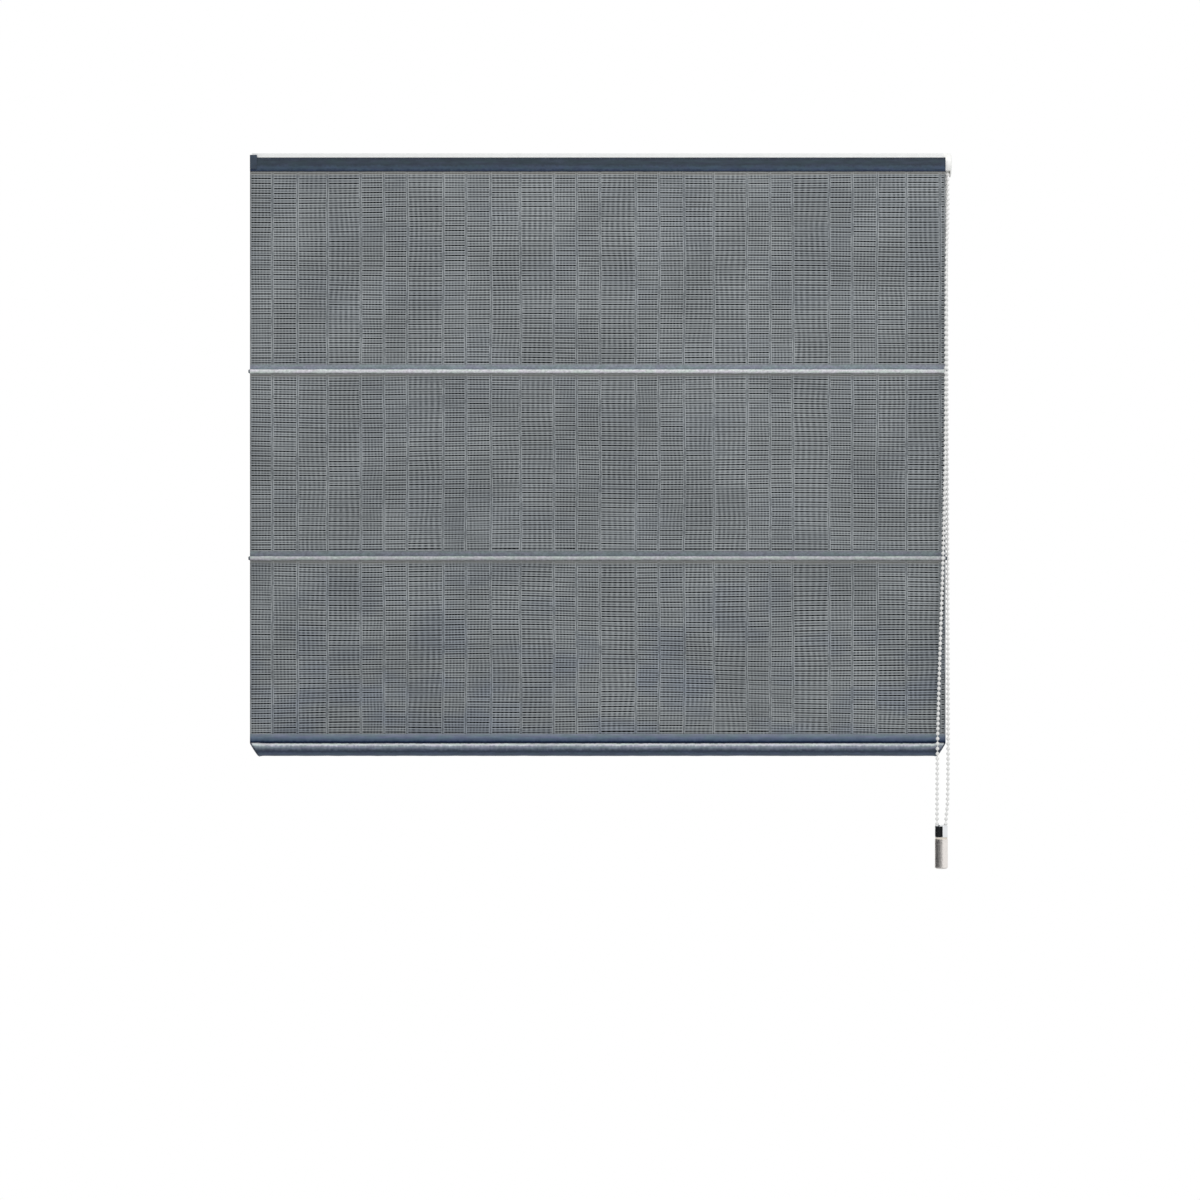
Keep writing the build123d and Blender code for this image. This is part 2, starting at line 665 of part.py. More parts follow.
def foot(x, z):
    """A foot against the cloth's back, with a rivet through the cloth to the strip in front."""
    back = cloth_back + CLOTH_GAP
    pad = block(
        (x - FOOT_WIDTH / 2, x + FOOT_WIDTH / 2),
        (back, back + FOOT_THICKNESS),
        (z - FOOT_HEIGHT / 2, z + FOOT_HEIGHT / 2),
    )
    pad = chamfer(pad.edges().filter_by(Axis.Y), FOOT_THICKNESS)
    return pad + rod_y(x, z, RIVET_RADIUS, (back, strip_back))


def stem(x, z, reach):
    """The web from a foot to the piece on the cord."""
    back = cloth_back + CLOTH_GAP + FOOT_THICKNESS
    return block(
        (x - STEM_WIDTH / 2, x + STEM_WIDTH / 2),
        (back - FOOT_THICKNESS / 2, cord_y - reach),
        (z - RING_THICKNESS / 2, z + RING_THICKNESS / 2),
    )


def cord_rings(z):
    """Three eyes that guide the lift cords behind one batten."""
    rings = []
    span = (z - RING_THICKNESS / 2, z + RING_THICKNESS / 2)
    for x in cord_places:
        eye = rod_z(x, cord_y, RING_OUTER, span) - rod_z(x, cord_y, RING_HOLE, (span[0] - 1, span[1] + 1))
        rings.append(foot(x, z) + stem(x, z, (RING_OUTER + RING_HOLE) / 2) + eye)
    return rings


def cord_anchors():
    """Three sockets on the bottom sleeve's tongue that hold the cord ends."""
    anchors = []
    z = foot_heights()[-1]
    top = z + ANCHOR_HEIGHT / 2
    for x in cord_places:
        barrel = rod_z(x, cord_y, ANCHOR_RADIUS, (z - ANCHOR_HEIGHT / 2, top))
        socket = rod_z(x, cord_y, CORD_RADIUS + SNUG_GAP, (top - ANCHOR_SOCKET, top + 1))
        anchors.append(foot(x, z) + stem(x, z, ANCHOR_RADIUS / 2) + barrel - socket)
    return anchors


def lift_cord(x):
    """One taut lift cord, from its drum's tangent to the bottom of its anchor's socket."""
    low = foot_heights()[-1] + ANCHOR_HEIGHT / 2 - ANCHOR_SOCKET
    return rod_z(x, cord_y, CORD_RADIUS, (low, shaft_z))


def bottom_bar():
    """The round aluminium tube that weighs the hem down."""
    tube = rod_x(bar_y, bar_z, BAR_RADIUS, (-bar_end, bar_end))
    return tube - rod_x(bar_y, bar_z, BAR_RADIUS - BAR_WALL, (-bar_end - 1, bar_end + 1))


def bottom_sleeve():
    """The plain cloth round the bar, with a tongue sewn over the face cloth's hem."""
    tube = rod_x(bar_y, bar_z, bar_sleeve_radius, (-bar_end, bar_end))
    ys = (strip_back, strip_back - BAR_SLEEVE_WALL)
    root = block((-bar_end, bar_end), ys, (bar_z, bar_z + bar_sleeve_radius + SNUG_GAP))
    tongue = block(
        (-half_width, half_width), ys, (bar_z + bar_sleeve_radius + SNUG_GAP, bar_z + TONGUE_HEIGHT)
    )
    return tube + root + tongue - rod_x(bar_y, bar_z, bar_sleeve_inner, (-bar_end - 1, bar_end + 1))


def bottom_cap(side):
    """A moulded bar end, its face slanted out to the cloth's edge at the top."""
    outer = rod_x(bar_y, bar_z, bar_sleeve_radius, (side * bar_end, side * half_width))
    low = bar_z - bar_sleeve_radius
    high = bar_z + bar_sleeve_radius
    lip = BAR_SLEEVE_WALL
    slope = [
        (side * (bar_end + lip), low - 1),
        (side * (half_width + 1), low - 1),
        (side * (half_width + 1), high + 1),
        (side * half_width, high),
        (side * (bar_end + lip), low),
    ]
    wedge = extrude(Plane.XZ * make_face(Polyline(*slope, close=True)), 2 * half_width, both=True)
    bore = BAR_RADIUS - BAR_WALL - SNUG_GAP
    plug = rod_x(bar_y, bar_z, bore, (side * (bar_end - BAR_CAP_PLUG), side * bar_end))
    plug -= rod_x(
        bar_y, bar_z, bore - BAR_CAP_PLUG_WALL, (side * (bar_end - BAR_CAP_PLUG - 1), side * bar_end)
    )
    return outer - wedge + plug


def weight_cap():
    """The chromed cap: a slot for the chain's turn, with a cross bar that it hangs on."""
    top = rail_top - WEIGHT_TOP_DROP
    low = top - WEIGHT_CAP_HEIGHT
    cap = rod_z(WEIGHT_X, WEIGHT_Y, WEIGHT_RADIUS, (low, top))
    cap = chamfer(cap.edges().filter_by(GeomType.CIRCLE).group_by(Axis.Z)[-1], WEIGHT_CAP_ROUND)
    slot_half = bead_radius + RUNNING_GAP
    slot_low = turn_z() - TURN_RADIUS - bead_radius - RUNNING_GAP
    cap -= block(
        (WEIGHT_X - WEIGHT_RADIUS - 1, WEIGHT_X + WEIGHT_RADIUS + 1),
        (WEIGHT_Y - slot_half, WEIGHT_Y + slot_half),
        (slot_low, top + 1),
    )
    cap += rod_z(WEIGHT_X, WEIGHT_Y, WEIGHT_SPIGOT_RADIUS, (low - WEIGHT_SPIGOT_LENGTH, low))
    bar = TURN_RADIUS - bead_radius - TURN_BAR_GAP
    return cap + rod_y(WEIGHT_X, turn_z(), bar, (WEIGHT_Y - slot_half - 1, WEIGHT_Y + slot_half + 1))


def weight_body():
    """The turned body, with a narrow collar below the cap and a socket for its spigot."""
    top = rail_top - WEIGHT_TOP_DROP - WEIGHT_CAP_HEIGHT
    low = top - WEIGHT_COLLAR_HEIGHT - WEIGHT_BODY_HEIGHT
    shoulder = top - WEIGHT_COLLAR_HEIGHT
    points = [
        (0, low),
        (WEIGHT_RADIUS - WEIGHT_BODY_ROUND, low),
        (WEIGHT_RADIUS, low + WEIGHT_BODY_ROUND),
        (WEIGHT_RADIUS, shoulder),
        (WEIGHT_COLLAR_RADIUS, shoulder),
        (WEIGHT_COLLAR_RADIUS, top),
        (WEIGHT_SPIGOT_RADIUS + SNUG_GAP, top),
        (WEIGHT_SPIGOT_RADIUS + SNUG_GAP, top - WEIGHT_SPIGOT_LENGTH - SNUG_GAP),
        (0, top - WEIGHT_SPIGOT_LENGTH - SNUG_GAP),
    ]
    return turned_z(points, WEIGHT_X, WEIGHT_Y)


def turn_z():
    """Height of the chain's turn inside the weight's cap."""
    floor = rail_top - WEIGHT_TOP_DROP - WEIGHT_CAP_HEIGHT + HOUSING_WALL
    return floor + bead_radius + TURN_RADIUS


def chain_route():
    """The chain's points, from the sprocket's top down in front, round the weight and back up."""
    crown = shaft_z + pitch_radius
    front_y = shaft_y - pitch_radius
    back_y = shaft_y + pitch_radius
    mouth = rail_bottom - CHAIN_MOUTH_DROP
    turn_low = turn_z() - TURN_RADIUS
    turn_left = WEIGHT_X - TURN_RADIUS
    turn_right = WEIGHT_X + TURN_RADIUS
    weight_top = rail_top - WEIGHT_TOP_DROP
    above_weight = weight_top + CHAIN_ABOVE_WEIGHT
    points = [
        (sprocket_x, shaft_y - SNUG_GAP, crown),
        (sprocket_x, front_y, crown),
        (sprocket_x, front_y, mouth),
        (sprocket_x, -50.0, -60.0),
        (sprocket_x - 3.0, -57.0, -110.0),
        (sprocket_x - 3.6, -58.5, -380.0),
        (turn_left + 1.1, WEIGHT_Y + 0.5, -656.0),
        (turn_left + 0.2, WEIGHT_Y + 0.2, weight_top + 54.7),
        (turn_left, WEIGHT_Y, above_weight),
        (turn_left, WEIGHT_Y, turn_low),
        (turn_right, WEIGHT_Y, turn_low),
        (turn_right, WEIGHT_Y, above_weight),
        (sprocket_x, WEIGHT_Y + 2.0, above_weight + 34.0),
        (sprocket_x, -40.0, -400.0),
        (sprocket_x, back_y - 1.05, -60.0),
        (sprocket_x, back_y, mouth),
        (sprocket_x, back_y, crown),
        (sprocket_x, shaft_y + SNUG_GAP, crown),
    ]
    return [Vector(*point) for point in points]


def corner_radii(points):
    """One arc for each corner: 0.45 of the shorter run over the tangent of half the turn."""
    radii = []
    for before, here, after in zip(points, points[1:], points[2:]):
        turn = math.radians((here - before).get_angle(after - here))
        run = min((here - before).length, (after - here).length)
        radii.append(0.45 * run / math.tan(turn / 2))
    on_sprocket = pitch_radius - 2 * SNUG_GAP
    on_bar = TURN_RADIUS - SNUG_GAP
    radii[0] = radii[-1] = on_sprocket
    radii[8] = radii[9] = on_bar
    return radii


def bead_chain():
    """The endless bead chain: square sections swell at each bead and narrow at each link."""
    points = chain_route()
    radii = corner_radii(points)
    route = FilletPolyline(*points, radius=radii)
    beads = round((route.length + 2 * SNUG_GAP) / BEAD_PITCH)
    pitch = route.length / beads
    sections = []
    for half_step in range(2 * beads + 1):
        distance = min(half_step * pitch / 2, route.length)
        place = route.position_at(distance, position_mode=PositionMode.LENGTH)
        heading = route.tangent_at(distance, position_mode=PositionMode.LENGTH)
        radius = bead_radius if half_step % 2 else BEAD_NECK_RADIUS
        side = radius * math.sqrt(2)
        frame = Plane(origin=place, x_dir=Vector(1, 1, 0), z_dir=heading)
        sections.append(frame * Rectangle(side, side))
    print("chain", round(route.length, 1), "mm,", beads, "beads, radii", [round(r, 1) for r in radii])
    return loft(sections, ruled=True)


def write(name, piece):
    """One STEP file for each named piece; a list becomes a group of separate solids."""
    if isinstance(piece, list):
        piece = Compound([solid for item in piece for solid in item.solids()])
    export_step(piece, f"parts/{name}.step")


def main():
    os.makedirs("parts", exist_ok=True)
    half_spacing = BRACKET_SPACING / 2
    write("head_rail", head_rail())
    write("cam_rivets", cam_rivets())
    for side, x in (("left", -half_spacing), ("right", half_spacing)):
        write(f"rail_bracket_{side}", rail_bracket(x))
        write(f"bracket_cam_{side}", bracket_cam(x))
    write("end_cap_left", end_cap_left())
    write("drive_housing", drive_housing())
    write("drive_cover", drive_cover())
    write("clutch_spring", clutch_spring())
    write("clutch_hub", clutch_hub())
    write("chain_sprocket", chain_sprocket())
    write("drive_shaft", drive_shaft())
    for side, x in zip(("left", "centre", "right"), cord_places):
        write(f"cord_drum_{side}", cord_drum(x))
        write(f"drum_cradle_{side}", drum_cradle(x))
        write(f"lift_cord_{side}", lift_cord(x))
    write("hook_tape", hook_tape())
    write("loop_tape", loop_tape())
    write("head_band", head_band())
    write("face_fabric", face_fabric())
    write("warp_ribs", warp_ribs())
    feet = foot_heights()
    for level, z, foot_z in zip(("upper", "lower"), batten_heights, feet):
        write(f"batten_sleeve_{level}", batten_sleeve(z))
        write(f"batten_rod_{level}", batten_rod(z))
        write(f"batten_tips_{level}", batten_tips(z))
        write(f"cord_rings_{level}", cord_rings(foot_z))
    write("cord_anchors", cord_anchors())
    write("bottom_bar", bottom_bar())
    write("bottom_sleeve", bottom_sleeve())
    write("bottom_cap_left", bottom_cap(-1))
    write("bottom_cap_right", bottom_cap(1))
    write("weight_cap", weight_cap())
    write("weight_body", weight_body())
    write("bead_chain", bead_chain())


main()
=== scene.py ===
import math

import bmesh
import bpy
from mathutils import Matrix, Vector, noise


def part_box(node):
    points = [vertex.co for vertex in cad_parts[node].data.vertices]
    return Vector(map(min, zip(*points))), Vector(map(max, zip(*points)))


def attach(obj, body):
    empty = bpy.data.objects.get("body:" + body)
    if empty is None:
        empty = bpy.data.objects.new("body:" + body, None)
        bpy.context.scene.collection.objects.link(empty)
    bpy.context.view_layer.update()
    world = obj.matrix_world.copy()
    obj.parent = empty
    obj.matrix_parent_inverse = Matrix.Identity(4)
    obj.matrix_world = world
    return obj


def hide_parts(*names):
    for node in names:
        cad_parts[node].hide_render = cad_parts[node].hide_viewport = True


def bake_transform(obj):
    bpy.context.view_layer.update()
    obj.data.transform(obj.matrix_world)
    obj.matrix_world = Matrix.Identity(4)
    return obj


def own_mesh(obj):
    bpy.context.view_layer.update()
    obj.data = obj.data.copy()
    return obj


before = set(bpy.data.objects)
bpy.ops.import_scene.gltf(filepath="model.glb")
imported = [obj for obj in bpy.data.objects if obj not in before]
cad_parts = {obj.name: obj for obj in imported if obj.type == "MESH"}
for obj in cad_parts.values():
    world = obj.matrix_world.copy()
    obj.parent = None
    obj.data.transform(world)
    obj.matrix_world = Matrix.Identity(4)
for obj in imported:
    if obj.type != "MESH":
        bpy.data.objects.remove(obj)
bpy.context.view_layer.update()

MM = 0.001

# Places read from the solids
band_low, band_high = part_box("head_band")
tongue_low, tongue_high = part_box("bottom_sleeve")
left, right = band_low.x, band_high.x
width = right - left
cloth_front = band_high.y
cloth_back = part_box("face_fabric")[1].y
bar_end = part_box("bottom_bar")[1].x
roll_radius = (tongue_high.y - tongue_low.y) / 2
roll_y = (tongue_high.y + tongue_low.y) / 2
roll_z = tongue_low.z + roll_radius

# The map that the cloth's finishes are drawn on
BAKE_MAP = "OFBake"

# Weave, as counted on the cloth; WARP_STEPS and THREAD_PITCH are in millimetres
WEFT_PITCH = 5.76 * MM
WEFT_HEIGHT = 0.4 * MM
WARP_STEPS = (27.6, 30.0, 35.4, 40.2, 27.6, 27.6, 43.2)
RIB_HEIGHT = 0.3 * MM
RIB_CREST = 1.2 * MM
RIB_FOOT = 2.2 * MM
RIB_GROOVE = -0.6
LINES_IN_COLUMN = 4
THREAD_PITCH = 3.0
YARN_SHADE = "#4e5356"
YARN_LIGHT = "#94989a"
YARN_PALE = "#c0c4c5"
# Each row's grid lines, as shares of the pitch, and how deep the slit is at each
ROW_LINES = (0.0, 0.28, 0.40, 0.5, 0.60, 0.72)
ROW_DEPTHS = (0.0, 0.0, 0.6, 1.0, 0.6, 0.0)
CLOTH_THICKNESS = 1.0 * MM
# How far the cloth runs on under a strip
TUCK = 0.6 * MM
# Over this distance from each side edge, the weave's sideways sway fades to nothing
EDGE_INSET = 14 * MM
# Each panel's rows are numbered from a multiple of this
PANEL_ROWS = 100

# Sewn pieces: how thick their cloth is, then how they are made up
BAND_CLOTH = 0.6 * MM
SLEEVE_CLOTH = 0.45 * MM
STRIP_CLOTH = 0.6 * MM
TONGUE_CLOTH = 0.5 * MM
ROLL_CLOTH = 0.6 * MM
CASING_RADIUS = 2.4 * MM
SLEEVE_LUMP = 5.0
STITCH_PITCH = 4.2 * MM
STITCH_LENGTH = 2.7 * MM
STITCH_RADIUS = 0.2 * MM
STITCH_INSET = 1.7 * MM
STITCH_MARGIN = 2 * MM
SEAM_DEPTH = 0.5 * MM
CAP_SHOWS = 1.6 * MM
OVER_CAP = 0.65 * MM

# Chain, weight and cords
COLLAR_HEIGHT = 2.4 * MM
BEAD_RADIUS = 2.25 * MM
BEAD_PITCH = 6.0 * MM
STRING_RADIUS = 0.5 * MM
CORD_RADIUS = 0.75 * MM
CORD_LAY = 7.0 * MM
CORD_STRANDS = 3
STEPS_PER_LAY = 8

# Chain's route, from the sprocket's top down in front, round the weight's bar and back up
CHAIN_ROUTE = [
    (420.2, -32.1, 12.35),
    (420.2, -41.55, 12.35),
    (420.2, -41.55, -14),
    (420.2, -50, -60),
    (417.2, -57, -110),
    (416.6, -58.5, -380),
    (407.2, -60.5, -656),
    (406.3, -60.8, -735),
    (406.1, -61, -786),
    (406.1, -61, -800.55),
    (416.5, -61, -800.55),
    (416.5, -61, -786),
    (420.2, -59, -752),
    (420.2, -40, -400),
    (420.2, -23.5, -60),
    (420.2, -22.45, -14),
    (420.2, -22.45, 12.35),
    (420.2, -31.9, 12.35),
]

# Photograph: one view, square on, of a plane five metres away
VIEW_CENTRE = (2.7 * MM, -520.4 * MM)
VIEW_DISTANCE = 5.0
LENS = 125
SENSOR = 36

# Studio
AMBIENT = 0.72
STRIP_POWER = 8.0
FRONT_POWER = 13.5
FLOOR_Z = -1.5


# Small helpers


def rough(*place):
    """Smooth noise from -1 to 1 at a place of up to three numbers."""
    return noise.noise(Vector((*place, 0.0, 0.0)[:3]))


def dice(*place):
    """A number from -1 to 1 for each whole place."""
    return noise.cell(Vector([value + 0.5 for value in (*place, 0, 0)[:3]]))


def clamp(value):
    return min(max(value, 0.0), 1.0)


def linear(tone):
    """A hex colour as linear red, green, blue and alpha."""
    shares = [int(tone[at:at + 2], 16) / 255 for at in (1, 3, 5)]
    return [s / 12.92 if s <= 0.04045 else ((s + 0.055) / 1.055) ** 2.4 for s in shares] + [1.0]


def per(size):
    """A pattern's scale for one cell of this many millimetres."""
    return 1 / (size * MM)


def add(tree, kind, inputs=None, **settings):
    """Adds a node: settings are its properties, inputs its sockets' values or what feeds them."""
    node = tree.nodes.new("ShaderNode" + kind)
    for name, value in settings.items():
        setattr(node, name, value)
    for name, value in (inputs or {}).items():
        if isinstance(value, bpy.types.Node):
            value = value.outputs[0]
        if isinstance(value, bpy.types.NodeSocket):
            tree.links.new(value, node.inputs[name])
        else:
            node.inputs[name].default_value = value
    return node


def mixed(tree, share, under, over, how="MIX"):
    """One colour laid over another, by a share from 0 to 1."""
    colours = {0: share, 6: under, 7: over}
    return add(tree, "Mix", colours, data_type="RGBA", blend_type=how).outputs[2]


def stretched(tree, place, sizes, detail=1.0):
    """Noise in cells of these many millimetres along each axis."""
    cells = add(tree, "Mapping", {"Vector": place, "Scale": [per(size) for size in sizes]})
    return add(tree, "TexNoise", {"Vector": cells, "Scale": 1.0, "Detail": detail})


def start(name):
    """An empty material and its node tree."""
    finish = bpy.data.materials.new(name)
    finish.use_nodes = True
    finish.node_tree.nodes.clear()
    return finish, finish.node_tree


def piece(bm, name, finish, body=None):
    """The mesh as a piece of the blind, smooth, with its finish, riding on a body."""
    for face in bm.faces:
        face.smooth = True
    mesh = bpy.data.meshes.new(name)
    bm.to_mesh(mesh)
    bm.free()
    mesh.materials.append(finish)
    made = bpy.data.objects.new(name, mesh)
    bpy.context.scene.collection.objects.link(made)
    if body:
        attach(made, body)
    return made


def grid_piece(columns, rows, place, marks=()):
    """A grid with each corner where place(column, row) says, row 0 on top; its map runs from 0 to 1.
    place gives the point, and one number for each mark."""
    bm = bmesh.new()
    chart = bm.loops.layers.uv.new(BAKE_MAP)
    layers = [bm.verts.layers.float.new(mark) for mark in marks]
    bmesh.ops.create_grid(bm, x_segments=columns, y_segments=rows, size=1.0)
    for vert in bm.verts:
        column = round((vert.co.x + 1) / 2 * columns)
        row = round((1 - vert.co.y) / 2 * rows)
        for loop in vert.link_loops:
            loop[chart].uv = (column / columns, 1 - row / rows)
        vert.co, *values = place(column, row)
        for layer, value in zip(layers, values):
            vert[layer] = value
    return bm


def repeat(bm, form, places):
    """Puts a copy of a small form into the mesh at each place, and frees the form."""
    mesh = bpy.data.meshes.new("form")
    form.to_mesh(mesh)
    form.free()
    for place in places:
        mesh.transform(place)
        bm.from_mesh(mesh)
        mesh.transform(place.inverted())
    bpy.data.meshes.remove(mesh)


def dress(finish, *nodes):
    """The finish on solids that stay as they are."""
    for node in nodes:
        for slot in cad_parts[node].material_slots:
            slot.material = finish


# Camera, lamps and floor


def camera():
    data = bpy.data.cameras.new("camera")
    data.lens = LENS
    data.sensor_width = SENSOR
    data.clip_end = 100
    holder = bpy.data.objects.new("camera", data)
    holder.location = (VIEW_CENTRE[0], cloth_front - VIEW_DISTANCE, VIEW_CENTRE[1])
    holder.rotation_euler = (math.pi / 2, 0, 0)
    bpy.context.scene.collection.objects.link(holder)
    bpy.context.scene.camera = holder


def lamp(name, place, aim, size, power):
    """A soft white rectangular lamp at a place, turned to a point; the camera doesn't see it."""
    data = bpy.data.lights.new(name, "AREA")
    data.shape = "RECTANGLE"
    data.size, data.size_y = size
    data.energy = power
    holder = bpy.data.objects.new(name, data)
    holder.location = place
    holder.rotation_euler = (Vector(aim) - Vector(place)).to_track_quat("-Z", "Y").to_euler()
    holder.visible_camera = False
    bpy.context.scene.collection.objects.link(holder)


def studio_air():
    """White to the camera, to metal and to glass; an even, weaker light on the blind."""
    world = bpy.data.worlds.new("studio_air")
    world.use_nodes = True
    tree = world.node_tree
    tree.nodes.clear()
    path = add(tree, "LightPath").outputs
    seen = add(tree, "Math", {0: path["Is Camera Ray"], 1: path["Is Glossy Ray"]}, operation="MAXIMUM")
    seen = add(tree, "Math", {0: seen, 1: path["Is Transmission Ray"]}, operation="MAXIMUM")
    light = add(tree, "Background", {"Color": linear("#f6f8fb"), "Strength": AMBIENT})
    white = add(tree, "Background", {"Color": linear("#ffffff"), "Strength": 1.0})
    both = add(tree, "MixShader", {0: seen, 1: light, 2: white})
    add(tree, "OutputWorld", {"Surface": both})
    bpy.context.scene.world = world


def stage_card(name, tone, size, matrix):
    """A flat card of one colour that isn't part of the blind."""
    finish, tree = start(name)
    shader = add(tree, "BsdfPrincipled", {"Base Color": linear(tone), "Roughness": 0.9})
    add(tree, "OutputMaterial", {"Surface": shader.outputs[0]})
    bm = bmesh.new()
    bmesh.ops.create_grid(bm, x_segments=1, y_segments=1, size=0.5)
    bmesh.ops.scale(bm, vec=(*size, 1), verts=bm.verts)
    bmesh.ops.transform(bm, matrix=matrix, verts=bm.verts)
    mesh = bpy.data.meshes.new(name)
    bm.to_mesh(mesh)
    bm.free()
    mesh.materials.append(finish)
    card = bpy.data.objects.new(name, mesh)
    bpy.context.scene.collection.objects.link(card)
    return card


bpy.context.scene.view_settings.view_transform = "Standard"
camera()
studio_air()
# A long strip high in front: the light line along the bottom roll, and the shade under it
lamp("strip_above", (0.0, -0.9, 1.0), (0.0, -0.05, -0.6), (2.2, 0.35), STRIP_POWER)
# A broad soft front lamp from the upper right
lamp("front_soft", (1.2, -2.6, 0.4), (0.0, -0.05, -0.4), (1.6, 1.6), FRONT_POWER)
stage_card("floor", "#ededeb", (3.6, 2.2), Matrix.Translation((0, -0.3, FLOOR_Z)))
# Dark cards on the left and far in front, which only reflections see: the dark half of the weight
upright = Matrix.Rotation(math.pi / 2, 4, "X")
on_left = Matrix.Translation((-1.6, -1.6, -0.5)) @ Matrix.Rotation(math.pi / 2, 4, "Z") @ upright
in_front = Matrix.Translation((-0.9, -6.4, -0.5)) @ upright
for name, place in (("card_left", on_left), ("card_front", in_front)):
    card = stage_card(name, "#0b0d12", (7.0, 3.2), place)
    card.visible_camera = False
    card.visible_diffuse = False
    card.visible_shadow = False


# Finishes


def woven_slate():
    """Slubbed polyester cloth: soft grey yarns in rows, with a dark slit between two rows, a weaker
    one halfway, and upright threads over them, so the face is a grid of short dashes."""
    finish, tree = start("woven_slate")
    chart = add(tree, "SeparateXYZ", {0: add(tree, "UVMap", uv_map=BAKE_MAP)})
    row = add(tree, "Attribute", attribute_name="row").outputs["Fac"]
    gap = add(tree, "Attribute", attribute_name="gap").outputs["Fac"]
    rib = add(tree, "Attribute", attribute_name="rib").outputs["Fac"]
    across = add(tree, "Math", {0: chart.outputs["X"], 1: width}, operation="MULTIPLY")

    def grain(size, rows, seed, low, high, low_to=0.0, high_to=1.0):
        """Noise in cells of this many millimetres across and rows high, from one value to another."""
        x = add(tree, "Math", {0: across, 1: per(size)}, operation="MULTIPLY")
        y = add(tree, "Math", {0: row, 1: 1 / rows}, operation="MULTIPLY")
        place = add(tree, "CombineXYZ", {0: x, 1: y, 2: seed})
        cells = add(tree, "TexNoise", {"Vector": place, "Scale": 1.0, "Detail": 1.0})
        return add(tree, "MapRange", {0: cells, 1: low, 2: high, 3: low_to, 4: high_to})

    # How far the place is from the slit in the middle of its row, as a share of the row
    part = add(tree, "Math", {0: row}, operation="FRACT")
    part = add(tree, "Math", {0: part, 1: 0.5}, operation="SUBTRACT")
    off_slit = add(tree, "Math", {0: part}, operation="ABSOLUTE")
    contrast = grain(46, 8, 9.3, 0.36, 0.58, 0.75, 1.0)

    # Upright threads: the real ones are 2.45 mm apart, too fine to show, so these stand wider
    jitter = grain(24, 14, 0.7, 0.2, 0.8, -3.0, 3.0)
    turn = add(tree, "Math", {0: across, 1: 2 * math.pi * per(THREAD_PITCH)}, operation="MULTIPLY")
    turn = add(tree, "Math", {0: turn, 1: jitter}, operation="ADD")
    wave = add(tree, "Math", {0: turn}, operation="SINE")
    strength = grain(9, 1.2, 4.1, 0.34, 0.62, 0.1, 0.65)
    strength = add(tree, "Math", {0: strength, 1: contrast}, operation="MULTIPLY")
    ticks = add(tree, "Math", {0: wave, 1: strength}, operation="MULTIPLY")
    ticks = add(tree, "MapRange", {0: ticks, 1: -0.8, 2: 0.8})
    yarn = mixed(tree, ticks, linear(YARN_SHADE), linear(YARN_LIGHT))

    # The weaker line halfway between two slits, broken by the threads
    mid_line = add(tree, "MapRange", {0: off_slit, 1: 0.34, 2: 0.44}, interpolation_type="SMOOTHSTEP")
    broken = add(tree, "MapRange", {0: wave, 1: -0.6, 2: 0.8, 3: 1.0, 4: 0.5})
    mid_line = add(tree, "Math", {0: mid_line, 1: broken}, operation="MULTIPLY")
    patches = grain(15, 1.1, 2.2, 0.38, 0.58, 0.1, 0.6)
    mid_line = add(tree, "Math", {0: mid_line, 1: patches}, operation="MULTIPLY")
    mid_line = add(tree, "Math", {0: mid_line, 1: contrast}, operation="MULTIPLY")
    yarn = mixed(tree, mid_line, yarn, linear("#35393c"))

    # A pale yarn lies along each slit's edges
    pale = add(tree, "MapRange", {0: off_slit, 1: 0.16, 2: 0.22}, interpolation_type="SMOOTHSTEP")
    fade = add(tree, "MapRange", {0: off_slit, 1: 0.24, 2: 0.33, 3: 1.0, 4: 0.0})
    pale = add(tree, "Math", {0: pale, 1: fade}, operation="MULTIPLY")
    pale = add(tree, "Math", {0: pale, 1: gap}, operation="MULTIPLY")
    pale = add(tree, "Math", {0: pale, 1: 0.9}, operation="MULTIPLY")
    yarn = mixed(tree, pale, yarn, linear(YARN_PALE))

    # Two raised pale threads side by side, with a groove between them
    thread = add(tree, "MapRange", {0: rib, 1: 0.35, 2: 0.8}, interpolation_type="SMOOTHSTEP")
    patches = grain(9, 2.2, 6.6, 0.40, 0.55, 0.1, 0.6)
    thread = add(tree, "Math", {0: thread, 1: patches}, operation="MULTIPLY")
    yarn = mixed(tree, thread, yarn, linear(YARN_PALE))
    groove = add(tree, "MapRange", {0: rib, 1: -0.1, 2: -0.5, 3: 0.0, 4: 0.35})
    groove = add(tree, "Math", {0: groove, 1: grain(9, 1.4, 3.3, 0.40, 0.58)}, operation="MULTIPLY")
    patches = grain(30, 22, 5.5, 0.42, 0.56, 0.35, 1.0)
    groove = add(tree, "Math", {0: groove, 1: patches}, operation="MULTIPLY")
    yarn = mixed(tree, groove, yarn, linear("#2b2f32"))

    # The slit itself, darkest where no thread crosses it
    slit = add(tree, "MapRange", {0: off_slit, 1: 0.10, 2: 0.19, 3: 1.0, 4: 0.0})
    slit = add(tree, "Math", {0: slit, 1: gap}, operation="MULTIPLY")
    crossed = add(tree, "MapRange", {0: wave, 1: -0.7, 2: 1.0, 3: 1.0, 4: 0.78})
    slit = add(tree, "Math", {0: slit, 1: crossed}, operation="MULTIPLY")
    yarn = mixed(tree, slit, yarn, linear("#0e1113"))
